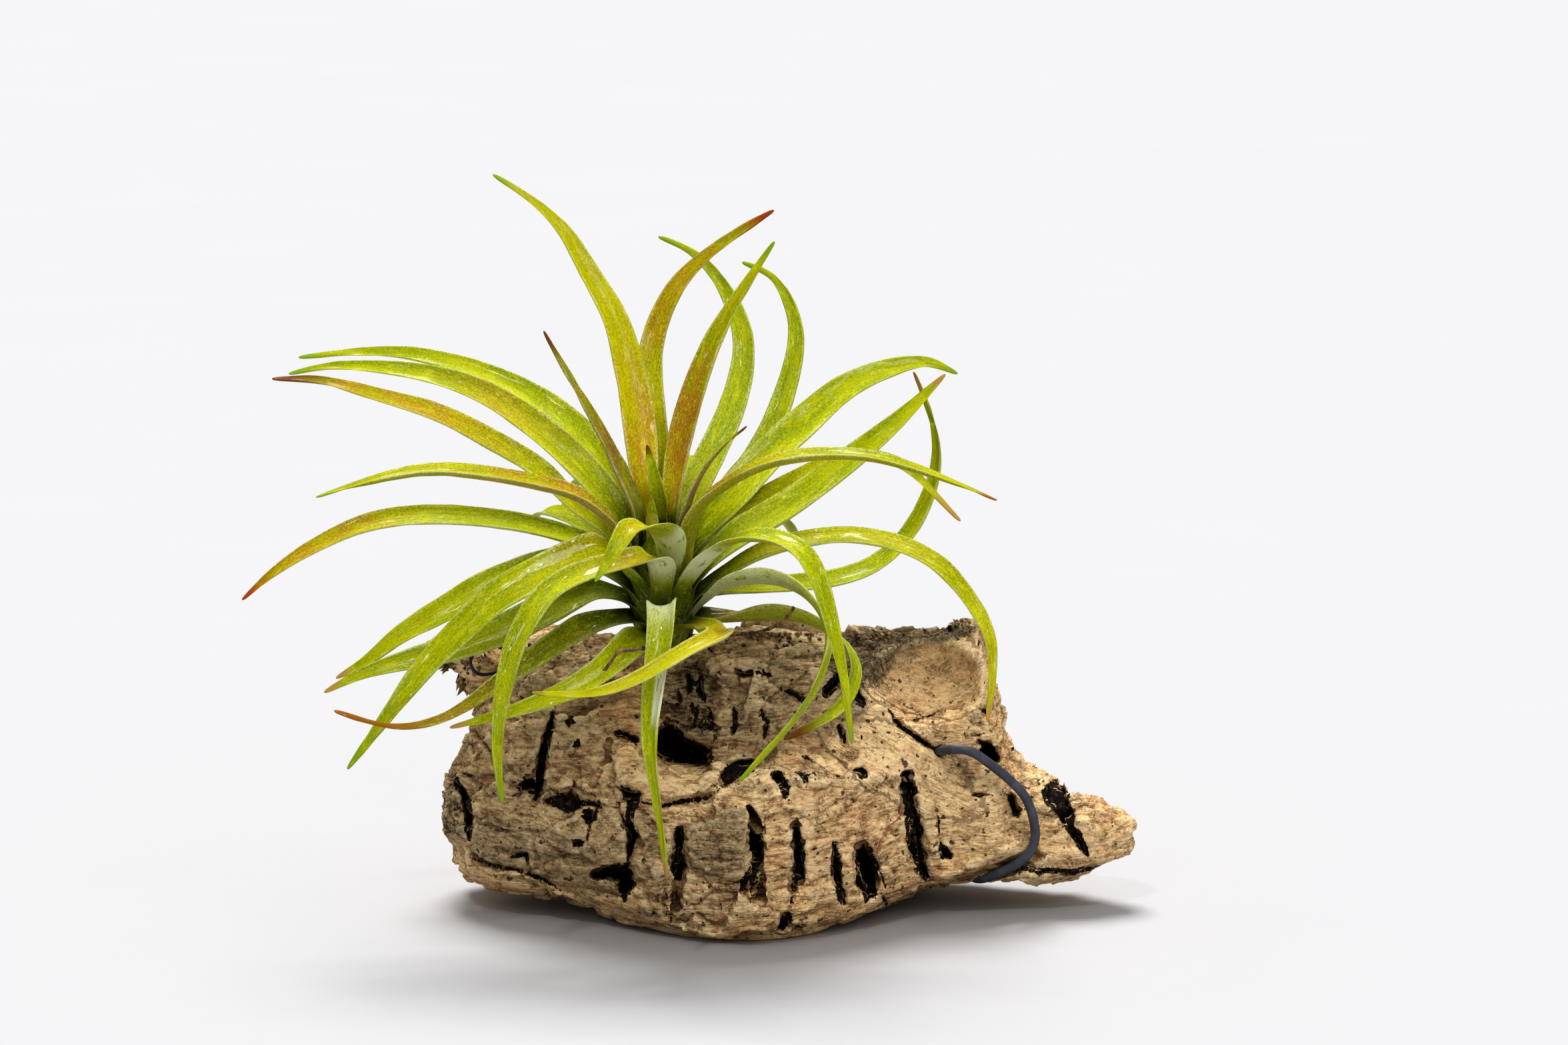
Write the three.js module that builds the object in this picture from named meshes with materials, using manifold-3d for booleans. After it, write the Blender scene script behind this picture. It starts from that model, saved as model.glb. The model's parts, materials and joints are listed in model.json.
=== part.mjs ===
// Tillandsia velutina growing on a piece of cork bark, in millimetres with +Z up.
// X runs to the right of the front view, Y away from the viewer.
// The origin is on the flat spot under the cork, where the piece rests.
import * as THREE from 'three';
import { mergeVertices } from 'three/addons/utils/BufferGeometryUtils.js';
import Module from 'manifold-3d';

const wasm = await Module();
wasm.setup();

// Driving dimensions
const SEAT_GAP = 0.3;
const LEAF_SEAT_GAP = 0.45;
const SEAT_PASSES = 6;
const MERGE_DISTANCE = 1e-4;
const PATH_SAMPLES = 160;

const STEM_FOOT = new THREE.Vector3(-13, 5.5, 49.5);
const STEM_TOP = new THREE.Vector3(-14, -8, 76);
const STEM_RADIUS = 5.5;
const STEM_SIDES = 14;
const ROOT_RADIUS = 0.5;
const ROOT_SIDES = 6;
const ROOT_STEPS = 8;

const FIRST_TIER = 8;
const TIER_STEP = 0.6;

const BLADE_MIDDLE = 1.05;
const BLADE_MIDDLE_AT_TIP = 0.7;
const BLADE_EDGE = 0.6;
const BLADE_ACROSS = [-1, -0.4, 0.4, 1];
const BLADE_LEAST_WIDTH = 1.1;
const BLADE_LEAST_CURVE = 0.85;
const BLADE_POINT = 1.2;
const PATH_DEPTH = 0.6;
const BASE_WIDTH_SHARE = 0.52;
const BELLY_PLACE = 0.22;
const SHOULDER_PLACE = 0.28;
const RING_LENGTH = 10;
const RING_TURN = THREE.MathUtils.degToRad(30);

const WIRE_RADIUS = 0.9;
const LOOP_RADIUS = 0.35;
const WIRE_SIDES = 8;
const WIRE_STEPS = 26;
const LOOP_STEPS = 18;

const CORK_RINGS = 30;
const CORK_SIDES = 34;
const CORK_ROUGHNESS = 1.3;
const CORK_GRAIN = 7;
const CORK_BACK_ROUGHNESS = 3;
const CORK_BACK_GRAIN = 15;
const CORK_BACK_FROM = 12;
const CORK_BACK_FULL = 22;
const CORK_SMOOTH_BELOW = 1;
const CORK_ROUGH_ABOVE = 5;

// Colours and finishes
const LEAF_TONES = {
  green: 0x8fae1f,
  yellow: 0xb3b52a,
  orange: 0xb48a30,
  silver: 0x9dab6a,
  brown: 0x96663a,
};
const finish = (color, roughness, metalness = 0) =>
  new THREE.MeshStandardMaterial({ color, roughness, metalness });
const CORK_FINISH = finish(0xbfa57e, 0.95);
const STEM_FINISH = finish(0x8a7a52, 0.85);
const WIRE_FINISH = finish(0x4a4c5a, 0.6);
const LOOP_FINISH = finish(0x17171a, 0.5);

// Leaves, roughly from the lowest up. Each path starts clear of the stem and ends at the tip;
// the part from the stem to the first point is worked out. Width is the widest flat width,
// taper says how late the blade narrows, belly is the share of the length where it is first at
// its full width, cup is the channel's angle in degrees, and twist turns the blade about its
// path, at the base, at the shoulder and at the tip, in degrees.
const LEAVES = [
  // low front left, hanging to the left before the cork
  { tier: 1, tone: 'green', width: 8, taper: 1.6, cup: 110, twist: [0, -30, -35],
    path: [[-18, -16, 56], [-21.7, -24, 54], [-27.7, -28, 50.3], [-38.7, -30, 46.1],
      [-52.5, -28.5, 42]] },
  // low right, silvery, folding down at the right
  { tier: 2, tone: 'silver', width: 9.4, taper: 1.4, belly: 0.16, cup: 100, twist: [0, -65, 10],
    path: [[-1, -2, 56.8], [10, -5, 58.4], [16, -7, 57], [21, -9, 53.6], [23, -12, 49], [21, -15, 44],
      [17, -18, 41], [9, -22, 38]] },
  // away from the viewer
  { tier: 3, tone: 'green', width: 7.4, taper: 3, cup: 90, twist: [0, 0, 0],
    path: [[-15, 20, 66], [-16, 34, 68], [-17, 48, 63], [-17, 58, 53]] },
  // far right, sweeping up behind the other right leaves
  { tier: 4, tone: 'green', width: 6.6, taper: 2.2, cup: 90, twist: [0, 0, 0],
    path: [[1, 10, 60], [11, 17, 59], [20, 22, 59], [27, 25, 61], [33, 27, 66], [37, 28, 73],
      [39, 28, 81], [38, 27, 89], [34, 26, 99]] },
  // left, with a thin brown S at its tip
  { tier: 5, tone: 'brown', width: 9, taper: 0.7, cup: 110, twist: [0, -25, -30],
    path: [[-27, -10, 57.6], [-32, -14, 55.4], [-37, -17.5, 52.5], [-42, -21, 50], [-47, -26, 47],
      [-54, -31, 44], [-62, -36, 44], [-73, -39, 48]] },
  // thin one below the right arch
  { tier: 5, tone: 'silver', width: 8.2, taper: 0.9, belly: 0.22, cup: 90, twist: [0, -80, -25],
    path: [[-0.6, -7.6, 65], [8, -13, 67], [15, -19, 64], [18, -22, 58], [17, -25, 53],
      [14, -28, 47], [8, -31, 40], [1, -34, 33]] },
  // front, hanging straight down
  { tier: 6, tone: 'green', width: 8.6, taper: 1.6, cup: 150, twist: [0, 0, 40],
    path: [[-13, -14, 62], [-13, -22, 64], [-13, -30, 65.6], [-13, -34.5, 62], [-14, -37, 54],
      [-15, -39, 46], [-15, -40, 40], [-14, -41, 34], [-13, -41, 27], [-12, -40, 16]] },
  // right, long droop with a dry tip
  { tier: 8, tone: 'orange', width: 6, taper: 3, cup: 90, twist: [0, 0, 0],
    path: [[-1, -2, 66], [6, -2, 70], [14, -2, 72], [21, -3, 73], [30, -5, 72], [38, -9, 69],
      [44, -13, 63], [48, -18, 56], [48, -22, 48], [47, -25, 42]] },
  // away from the viewer, to the left
  { tier: 9, tone: 'green', width: 7.2, taper: 3, cup: 90, twist: [0, 0, 0],
    path: [[-24, 16, 69], [-33, 29, 70.5], [-38, 39, 68.5], [-40, 47, 63]] },
  // lower left, long and straight
  { tier: 9, tone: 'silver', width: 7.8, taper: 2.6, cup: 110, twist: [0, -25, -40],
    path: [[-27, -5, 63], [-38, -12, 59], [-46, -15, 56], [-54, -18, 54], [-68, -21, 51],
      [-76, -22, 47]] },
  // away from the viewer, to the right
  { tier: 9, tone: 'green', width: 7.2, taper: 3, cup: 90, twist: [0, 0, 0],
    path: [[-4, 16, 68], [4, 30, 70], [10, 42, 66], [13, 52, 57]] },
  // front, yellow, turning over to the left
  { tier: 4, tone: 'yellow', width: 7.6, taper: 2, cup: 130, twist: [0, -20, -50],
    path: [[-5, -12, 57.6], [-4, -23, 58.8], [-2, -32, 61.2], [-3, -36.5, 61.2], [-7, -39, 60],
      [-11.7, -41.5, 57.6], [-17.3, -43, 54.6], [-23.6, -44.2, 52.5], [-29.7, -44.8, 52],
      [-36.7, -45, 52.8]] },
  // right, long and straight
  { tier: 12, tone: 'green', width: 8.8, taper: 2.6, cup: 80, twist: [0, 5, 30],
    path: [[0, -3, 72.5], [10, -2, 78], [20, -1, 85.5], [29, 0, 92.5], [35, 1, 98], [40, 2, 103]] },
  // away from the viewer, upper left
  { tier: 12, tone: 'green', width: 7, taper: 3, cup: 90, twist: [0, 0, 0],
    path: [[-20, 14, 76], [-26, 27, 78], [-31, 39, 74], [-34, 48, 66]] },
  // left, behind the big front one
  { tier: 13, tone: 'green', width: 7.8, taper: 2.6, cup: 100, twist: [0, -25, -40],
    path: [[-27, -7, 69], [-40, -11, 67], [-47, -13, 65], [-54, -15, 61], [-62, -17, 57],
      [-68, -18, 52], [-74, -19, 49]] },
  // back right, folding to the left at its tip
  { tier: 13, tone: 'silver', width: 6.4, taper: 2.4, cup: 90, twist: [0, 0, 0],
    path: [[-1, 13, 77], [6, 21, 86], [10, 27, 95], [12, 31, 103], [11, 36, 109], [7, 40, 115],
      [1, 43, 117]] },
  // front right, arching over and hanging down
  { tier: 14, tone: 'green', width: 8, taper: 2.2, cup: 110, twist: [0, 0, 0],
    path: [[-5, -19, 72], [1, -28, 78], [8, -33, 79], [13, -37, 77], [16, -40, 72],
      [18, -42, 65], [20, -43, 57], [21, -43, 50], [22, -42, 42]] },
  // front left, arching over and hanging down
  { tier: 12, tone: 'silver', width: 7.4, taper: 2.6, cup: 110, twist: [0, -30, -80],
    path: [[-14, -21, 73], [-20, -31, 74], [-26, -34, 73], [-33, -36, 70], [-37, -38, 65],
      [-40, -39, 59], [-42, -40, 50], [-43, -40, 41], [-42, -39, 30]] },
  // right, thin with an orange tip, behind the straight one
  { tier: 17, tone: 'orange', width: 5.2, taper: 2.4, cup: 90, twist: [0, 0, 0],
    path: [[1, 7, 75.5], [10, 8, 80.5], [19, 8, 85], [26, 8, 86], [33, 6, 84], [38, 4, 79],
      [43, 3, 74]] },
  // away from the viewer, high
  { tier: 16, tone: 'green', width: 6.6, taper: 3, cup: 90, twist: [0, 0, 0],
    path: [[-10, 15, 80], [-9, 28, 82], [-8, 40, 78], [-8, 50, 69]] },
  // upper left, orange to a brown tip
  { tier: 17, tone: 'orange', width: 7, taper: 2.8, belly: 0.45, cup: 100, twist: [0, -2, -10],
    path: [[-24.5, -3.8, 75], [-29, -3, 78], [-36, -1, 85], [-45, 1, 90], [-55, 3, 95],
      [-66, 4, 98], [-77, 5, 101], [-87, 6, 101]] },
  // left front, the big wet one
  { tier: 17, tone: 'green', width: 8.8, taper: 2.2, cup: 100, twist: [0, -30, -60],
    path: [[-24, -20, 74], [-29, -23, 73], [-37, -26, 70], [-44, -28, 66.3], [-50, -30, 60.6],
      [-56, -31, 55], [-62, -32, 47], [-71, -33, 35]] },
  // upper left, thin and high
  { tier: 18, tone: 'green', width: 6, taper: 2.6, cup: 90, twist: [0, -2, -10],
    path: [[-22, 8, 82.5], [-28, 13, 89], [-35, 18, 93.8], [-44, 22, 97.8], [-55, 26, 100.9],
      [-65, 29, 102], [-75, 31, 101.4], [-84, 33, 100]] },
  // right, level, with an orange upper edge
  { tier: 18, tone: 'orange', width: 8.4, taper: 3, cup: 120, twist: [0, 0, 0],
    path: [[-7, -14, 80], [-1, -17, 86], [6, -19, 90], [15, -21, 92], [25, -22, 92],
      [36, -23, 89], [49, -25, 84]] },
  // front, short, curled over to the left
  { tier: 19, tone: 'silver', width: 7, taper: 4, cup: 120, twist: [0, 0, -85],
    path: [[-11, -17, 74], [-13, -25, 79], [-16, -31, 81], [-19, -35, 81], [-21, -38, 78],
      [-25, -41, 72]] },
  // right, up behind the long ones
  { tier: 20, tone: 'green', width: 8.6, taper: 2.8, cup: 80, twist: [0, 5, 30],
    path: [[0.5, 5.6, 79.6], [6, 10.5, 85], [14, 15, 91.5], [21, 19, 97], [29, 22, 100], [37, 24, 101],
      [43, 26, 98]] },
  // left, long, drooping to a red brown tip
  { tier: 21, tone: 'green', width: 7.4, taper: 4, cup: 110, twist: [0, -2, -15],
    path: [[-22.3, -8.6, 71.6], [-30, -10.3, 74], [-38, -12, 76.8], [-48, -14, 78.6], [-58, -16, 79.4],
      [-68, -17, 78.1], [-77, -18, 74.2], [-85, -19, 69.3], [-91, -20, 64]] },
  // upper left, behind the orange one
  { tier: 22, tone: 'green', width: 7.8, taper: 2.2, cup: 100, twist: [0, -2, -15],
    path: [[-23, 1, 79], [-30, 5, 86], [-38, 9, 92], [-47, 13, 97], [-57, 16, 100],
      [-67, 18, 101], [-77, 20, 101], [-85, 21, 99]] },
  // back right, tall, folding to the left
  { tier: 24, tone: 'silver', width: 7.4, taper: 1.8, cup: 90, twist: [0, 0, 0],
    path: [[-7, 3, 81], [-2, 11, 90], [1, 18, 97], [2, 23, 105], [0, 28, 111], [-4, 32, 117],
      [-9, 35, 121], [-15, 37, 123]] },
  // tall, leaning left
  { tier: 27, tone: 'yellow', width: 7.8, taper: 2, belly: 0.3, cup: 90, twist: [0, 0, 0],
    path: [[-16.5, -4, 82], [-17.5, 2, 92], [-19, 7, 100], [-22, 12, 111], [-27, 16, 119],
      [-32, 20, 127], [-39, 23, 133], [-46, 25, 137]] },
  // left, level, pink below and orange above
  { tier: 25, tone: 'orange', width: 7.8, taper: 3.4, cup: 130, twist: [0, 0, 0],
    path: [[-22, -12, 77], [-28, -15, 83], [-37, -17, 86], [-46, -19, 88], [-56, -20, 89],
      [-67, -21, 87], [-77, -22, 84]] },
  // tall, leaning right, with a red orange tip
  { tier: 20, tone: 'orange', width: 6.2, taper: 2.4, cup: 90, twist: [0, 0, 0],
    path: [[-14.4, 5.2, 84], [-15.5, 11, 95], [-16, 16, 102], [-15, 19, 108], [-11, 22, 116],
      [-6, 24, 121], [1, 25, 126], [8, 26, 130]] },
  // short upright at the left of the heart
  { tier: 28, tone: 'brown', width: 6.4, taper: 1.6, cup: 100, twist: [0, 0, 0],
    path: [[-18, -9, 80], [-21, -11, 87], [-24, -12, 94], [-28, -13, 101], [-35, -13, 114]] },
  // upright, leaning right
  { tier: 30, tone: 'orange', width: 7, taper: 2, belly: 0.4, cup: 100, twist: [0, 0, 0],
    path: [[-11.5, -5, 80], [-10.5, -2, 88], [-8, -1, 98], [-3, 1, 111], [2, 2, 119],
      [8, 3, 128]] },
  // short at the right of the heart
  { tier: 31, tone: 'brown', width: 4.8, taper: 2.4, cup: 100, twist: [0, 0, 0],
    path: [[-9, -11, 79], [-7, -12, 85], [-3, -13, 91], [3, -13, 96]] },
  // two young leaves of the heart
  { tier: 33, tone: 'green', width: 4.6, taper: 2, cup: 110, twist: [0, 0, 0],
    path: [[-14, -10, 83], [-16, -10, 92]] },
  { tier: 33, tone: 'green', width: 3.6, taper: 2, cup: 110, twist: [0, 0, 0],
    path: [[-15, -12, 79], [-15, -14, 83]] },
];

// Cork stations along X: x, front y, back y, lowest z, highest z
const CORK_STATIONS = [
  [-55, 2, 12, 15.5, 24],
  [-50.5, -5, 20, 6.2, 31],
  [-41.5, -11, 26, 5, 47],
  [-32, -16, 28, 5.5, 51],
  [-20, -22, 29, 2, 50],
  [-9, -27, 30, 0, 50],
  [4, -30, 30, 0, 52],
  [15, -25, 29, 0, 51],
  [28, -16, 28, 3, 49],
  [38, -9, 26, 6.5, 50.5],
  [46, -7, 22, 6, 53],
  [50, -6, 19, 6, 39],
  [53, -5.5, 17, 6, 28],
  [60, -5, 14, 6.5, 23],
  [68, -3, 11, 8, 19.5],
  [75.6, 1, 6, 11.5, 17],
];
// The cork's section, as shares of its depth from the front and of its height. Each row holds
// the plain section and the one where a ledge stands out below a set back upper part.
const CORK_SECTION = [
  { plain: [0.12, 0], ledged: [0.1, 0] },
  { plain: [0, 0.2], ledged: [0, 0.22] },
  { plain: [0.02, 0.5], ledged: [0.03, 0.6] },
  { plain: [0.08, 0.68], ledged: [0.24, 0.66] },
  { plain: [0.2, 0.86], ledged: [0.3, 0.84] },
  { plain: [0.42, 1], ledged: [0.42, 1] },
  { plain: [0.7, 1], ledged: [0.7, 1] },
  { plain: [0.96, 0.84], ledged: [0.96, 0.84] },
  { plain: [1, 0.3], ledged: [1, 0.3] },
  { plain: [0.85, 0], ledged: [0.85, 0] },
];
const LEDGE_CENTRE = -3;
const LEDGE_REACH = 30;

// Gathers points and triangles for one closed mesh.
class MeshMaker {
  constructor() {
    this.points = [];
    this.triangles = [];
  }

  add(point) {
    this.points.push(point.x, point.y, point.z);
    return this.points.length / 3 - 1;
  }

  triangle(a, b, c) {
    this.triangles.push(a, b, c);
  }

  quad(a, b, c, d) {
    this.triangles.push(a, b, c, a, c, d);
  }

  geometry() {
    const geometry = new THREE.BufferGeometry();
    geometry.setAttribute('position', new THREE.Float32BufferAttribute(this.points, 3));
    geometry.setIndex(signedVolume(this) < 0 ? this.triangles.slice().reverse() : this.triangles);
    return geometry;
  }
}

function signedVolume({ points, triangles }) {
  const corner = (index) => new THREE.Vector3().fromArray(points, index * 3);
  let volume = 0;
  for (let i = 0; i < triangles.length; i += 3) {
    const [a, b, c] = [0, 1, 2].map((step) => corner(triangles[i + step]));
    volume += a.dot(b.cross(c)) / 6;
  }
  return volume;
}

function toSolid(geometry) {
  const bare = geometry.clone();
  bare.deleteAttribute('normal');
  bare.deleteAttribute('uv');
  const merged = mergeVertices(bare, MERGE_DISTANCE);
  return new wasm.Manifold(new wasm.Mesh({
    numProp: 3,
    vertProperties: new Float32Array(merged.attributes.position.array),
    triVerts: new Uint32Array(merged.index.array),
  }));
}

function toGeometry(solid) {
  const mesh = solid.getMesh();
  const geometry = new THREE.BufferGeometry();
  geometry.setAttribute('position', new THREE.BufferAttribute(mesh.vertProperties, 3));
  geometry.setIndex(new THREE.BufferAttribute(mesh.triVerts, 1));
  return geometry;
}

const vector = ([x, y, z]) => new THREE.Vector3(x, y, z);

function smoothStep(from, to, value) {
  return THREE.MathUtils.smoothstep(value, from, to);
}

function tube(points, radius, sides, steps) {
  const outline = new THREE.Shape();
  outline.absarc(0, 0, radius, 0, 2 * Math.PI);
  const extrudePath = new THREE.CatmullRomCurve3(points.map(vector), false, 'centripetal');
  return new THREE.ExtrudeGeometry(outline, { steps, curveSegments: sides / 2, extrudePath });
}

// Stem

const stemAxis = STEM_TOP.clone().sub(STEM_FOOT).normalize();
const stemLength = STEM_TOP.distanceTo(STEM_FOOT);

const STEM_PROFILE = [
  [0, 0.7], [0.06, 1], [0.45, 1], [0.75, 0.72], [0.9, 0.45], [0.97, 0.28],
];
const ROOTS = [
  [[-13.5, 2, 52], [-13, -12, 55], [-13.5, -21, 56.5], [-16, -28, 57], [-20.5, -29.8, 57],
    [-23, -29.6, 55.5], [-23.6, -29.3, 53]],
  [[-11, 2, 52], [-5, -3, 53.4], [2, -8, 55], [7, -12, 57], [10, -13, 59], [11.5, -13, 61.5]],
  [[-12, 7, 52.5], [-9, 14, 52], [-5, 19, 51]],
];

function stemRadius(height) {
  const share = height / stemLength;
  const last = STEM_PROFILE.length - 1;
  if (share >= STEM_PROFILE[last][0]) return STEM_RADIUS * STEM_PROFILE[last][1];
  const next = STEM_PROFILE.findIndex(([at]) => at > share);
  if (next < 1) return STEM_RADIUS * STEM_PROFILE[0][1];
  const [from, low] = STEM_PROFILE[next - 1];
  const [to, high] = STEM_PROFILE[next];
  return STEM_RADIUS * THREE.MathUtils.mapLinear(share, from, to, low, high);
}

function stemSolid(extra) {
  const rows = STEM_PROFILE.map(([share, size]) =>
    new THREE.Vector2(STEM_RADIUS * size + extra, stemLength * share));
  const profile = [
    new THREE.Vector2(0, -extra),
    new THREE.Vector2(rows[0].x, -extra),
    ...rows.slice(1),
    new THREE.Vector2(0, stemLength + extra),
  ];
  const lathe = new THREE.LatheGeometry(profile, STEM_SIDES);
  lathe.applyQuaternion(new THREE.Quaternion().setFromUnitVectors(new THREE.Vector3(0, 1, 0), stemAxis));
  lathe.translate(STEM_FOOT.x, STEM_FOOT.y, STEM_FOOT.z);
  return ROOTS.reduce(
    (solid, root) => solid.add(toSolid(tube(root, ROOT_RADIUS + extra, ROOT_SIDES, ROOT_STEPS))),
    toSolid(lathe),
  );
}

// Leaves

// Where a leaf leaves the stem: at its tier's height, on the side its path goes to.
function leafSeat({ tier, path }) {
  const height = FIRST_TIER + tier * TIER_STEP;
  const onAxis = STEM_FOOT.clone().addScaledVector(stemAxis, height);
  const outward = vector(path[0]).sub(onAxis).projectOnPlane(stemAxis).normalize();
  const base = onAxis.clone().addScaledVector(outward, stemRadius(height));
  return { base, outward, side: stemAxis.clone().cross(outward) };
}

// The least distance from any of the points to the stem's round surface.
function clearOfStem(points) {
  return Math.min(...points.map((point) => {
    const fromFoot = point.clone().sub(STEM_FOOT);
    const height = fromFoot.dot(stemAxis);
    if (height > stemLength) return Infinity;
    return fromFoot.projectOnPlane(stemAxis).length() - stemRadius(height);
  }));
}

// Rings are closer where the path turns and further apart where it is straight.
function ringPlaces(curve) {
  const samples = PATH_SAMPLES;
  const cost = [0];
  let before = curve.getTangentAt(0);
  for (let i = 1; i <= samples; i += 1) {
    const tangent = curve.getTangentAt(i / samples);
    const turn = before.angleTo(tangent);
    cost.push(cost[i - 1] + curve.getLength() / samples / RING_LENGTH + turn / RING_TURN);
    before = tangent;
  }
  const count = Math.max(4, Math.round(cost[samples]));
  const end = 1 - BLADE_POINT / curve.getLength();
  return Array.from({ length: count + 1 }, (_, ring) => {
    const wanted = (cost[samples] * ring) / count;
    return (end * cost.findIndex((value) => value >= wanted - 1e-9)) / samples;
  });
}

function bladeWidth(leaf, along) {
  const full = smoothStep(0, leaf.belly ?? BELLY_PLACE, along);
  const belly = BASE_WIDTH_SHARE + (1 - BASE_WIDTH_SHARE) * full;
  return Math.max(BLADE_LEAST_WIDTH, leaf.width * belly * (1 - along ** leaf.taper));
}

// The blade's turn about its path, in degrees.
function bladeTwist([base, shoulder, tip], along) {
  const early = (shoulder - base) * smoothStep(0, SHOULDER_PLACE, along);
  const late = (tip - shoulder) * smoothStep(SHOULDER_PLACE, 1, along);
  return base + early + late;
}

// One ring of the blade: four points on the outer face, then four back along the inner face.
function bladeRing(leaf, along, centre, side, up) {
  const width = bladeWidth(leaf, along);
  const cup = Math.min(THREE.MathUtils.degToRad(leaf.cup), width / BLADE_LEAST_CURVE);
  const radius = width / cup;
  const middle = THREE.MathUtils.lerp(BLADE_MIDDLE, BLADE_MIDDLE_AT_TIP, along);
  const rise = radius * (1 - Math.cos(cup / 2));
  const place = (across, face) => {
    const half = (Math.abs(across) === 1 ? BLADE_EDGE : middle) / 2;
    const angle = (across * cup) / 2;
    const reach = radius + face * half;
    return centre.clone()
      .addScaledVector(side, reach * Math.sin(angle))
      .addScaledVector(up, radius - PATH_DEPTH * rise - reach * Math.cos(angle));
  };
  return [1, -1].flatMap((face) => BLADE_ACROSS.map((across) => place(across, face)));
}

// The blade's rings from base to tip, with its point, for a base moved out from the stem.
function bladeRings(leaf, shift) {
  const { base, outward, side } = leafSeat(leaf);
  base.addScaledVector(outward, shift);
  const curve = new THREE.CatmullRomCurve3([base, ...leaf.path.map(vector)], false, 'centripetal');
  curve.arcLengthDivisions = 400;
  let before = curve.getTangentAt(0);
  side.projectOnPlane(before).normalize();
  const rings = ringPlaces(curve).map((along) => {
    const tangent = curve.getTangentAt(along);
    side.applyQuaternion(new THREE.Quaternion().setFromUnitVectors(before, tangent));
    before = tangent;
    const roll = THREE.MathUtils.degToRad(bladeTwist(leaf.twist, along));
    const turned = side.clone().applyAxisAngle(tangent, roll);
    const up = tangent.clone().cross(turned);
    return bladeRing(leaf, along, curve.getPointAt(along), turned, up);
  });
  return { rings, point: curve.getPointAt(1) };
}

function leafGeometry(leaf) {
  let shift = 0;
  let blade = bladeRings(leaf, shift);
  for (let pass = 0; pass < SEAT_PASSES; pass += 1) {
    shift += LEAF_SEAT_GAP - clearOfStem(blade.rings.flat());
    blade = bladeRings(leaf, shift);
  }
  const maker = new MeshMaker();
  const rings = blade.rings.map((ring) => ring.map((point) => maker.add(point)));
  const last = rings.length - 1;
  const tip = maker.add(blade.point);
  const outer = (ring, j) => rings[ring][j];
  const inner = (ring, j) => rings[ring][j + 4];
  for (let ring = 0; ring < last; ring += 1) {
    for (let j = 0; j < 3; j += 1) {
      maker.quad(outer(ring, j), outer(ring, j + 1), outer(ring + 1, j + 1), outer(ring + 1, j));
      maker.triangle(inner(ring, j), inner(ring + 1, j + 1), inner(ring, j + 1));
      maker.triangle(inner(ring, j), inner(ring + 1, j), inner(ring + 1, j + 1));
    }
    maker.quad(inner(ring, 0), outer(ring, 0), outer(ring + 1, 0), inner(ring + 1, 0));
    maker.quad(outer(ring, 3), inner(ring, 3), inner(ring + 1, 3), outer(ring + 1, 3));
  }
  for (let j = 0; j < 3; j += 1) {
    maker.quad(outer(0, j + 1), outer(0, j), inner(0, j), inner(0, j + 1));
    maker.triangle(outer(last, j), outer(last, j + 1), tip);
    maker.triangle(inner(last, j + 1), inner(last, j), tip);
  }
  maker.triangle(inner(last, 0), outer(last, 0), tip);
  maker.triangle(outer(last, 3), inner(last, 3), tip);
  return maker.geometry();
}

// Cork

// A fixed number between -1 and 1 for each corner of a unit lattice.
function latticeValue(x, y, z) {
  const mixed = Math.sin(x * 127.1 + y * 311.7 + z * 74.7) * 43758.5453;
  return 2 * (mixed - Math.floor(mixed)) - 1;
}

function smoothNoise(point, size) {
  const scaled = point.clone().divideScalar(size);
  const low = scaled.clone().floor();
  const part = scaled.clone().sub(low);
  let sum = 0;
  for (let corner = 0; corner < 8; corner += 1) {
    const [i, j, k] = [corner & 1, (corner >> 1) & 1, (corner >> 2) & 1];
    const weight = (i ? part.x : 1 - part.x) * (j ? part.y : 1 - part.y) * (k ? part.z : 1 - part.z);
    sum += weight * latticeValue(low.x + i, low.y + j, low.z + k);
  }
  return sum;
}

function corkPoint(station, ledge, share) {
  const [x, front, back, low, high] = station;
  const points = CORK_SECTION.map(({ plain, ledged }) => new THREE.Vector3(
    x,
    THREE.MathUtils.lerp(front, back, THREE.MathUtils.lerp(plain[0], ledged[0], ledge)),
    THREE.MathUtils.lerp(low, high, THREE.MathUtils.lerp(plain[1], ledged[1], ledge)),
  ));
  const loop = new THREE.CatmullRomCurve3(points, true, 'centripetal');
  return loop.getPoint(share);
}

// The stations are blended with a smooth curve along X.
function corkStation(share) {
  const last = CORK_STATIONS.length - 1;
  const place = share * last;
  const at = (index) => CORK_STATIONS[THREE.MathUtils.clamp(index, 0, last)];
  const i = Math.min(Math.floor(place), last - 1);
  const t = place - i;
  const [a, b, c, d] = [at(i - 1), at(i), at(i + 1), at(i + 2)];
  return b.map((_, k) => 0.5 * (2 * b[k] + (c[k] - a[k]) * t
    + (2 * a[k] - 5 * b[k] + 4 * c[k] - d[k]) * t * t
    + (3 * b[k] - 3 * c[k] + d[k] - a[k]) * t * t * t));
}

const backShare = (y) => smoothStep(CORK_BACK_FROM, CORK_BACK_FULL, y);
const footShare = (z) => smoothStep(CORK_SMOOTH_BELOW, CORK_ROUGH_ABOVE, z);

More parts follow.
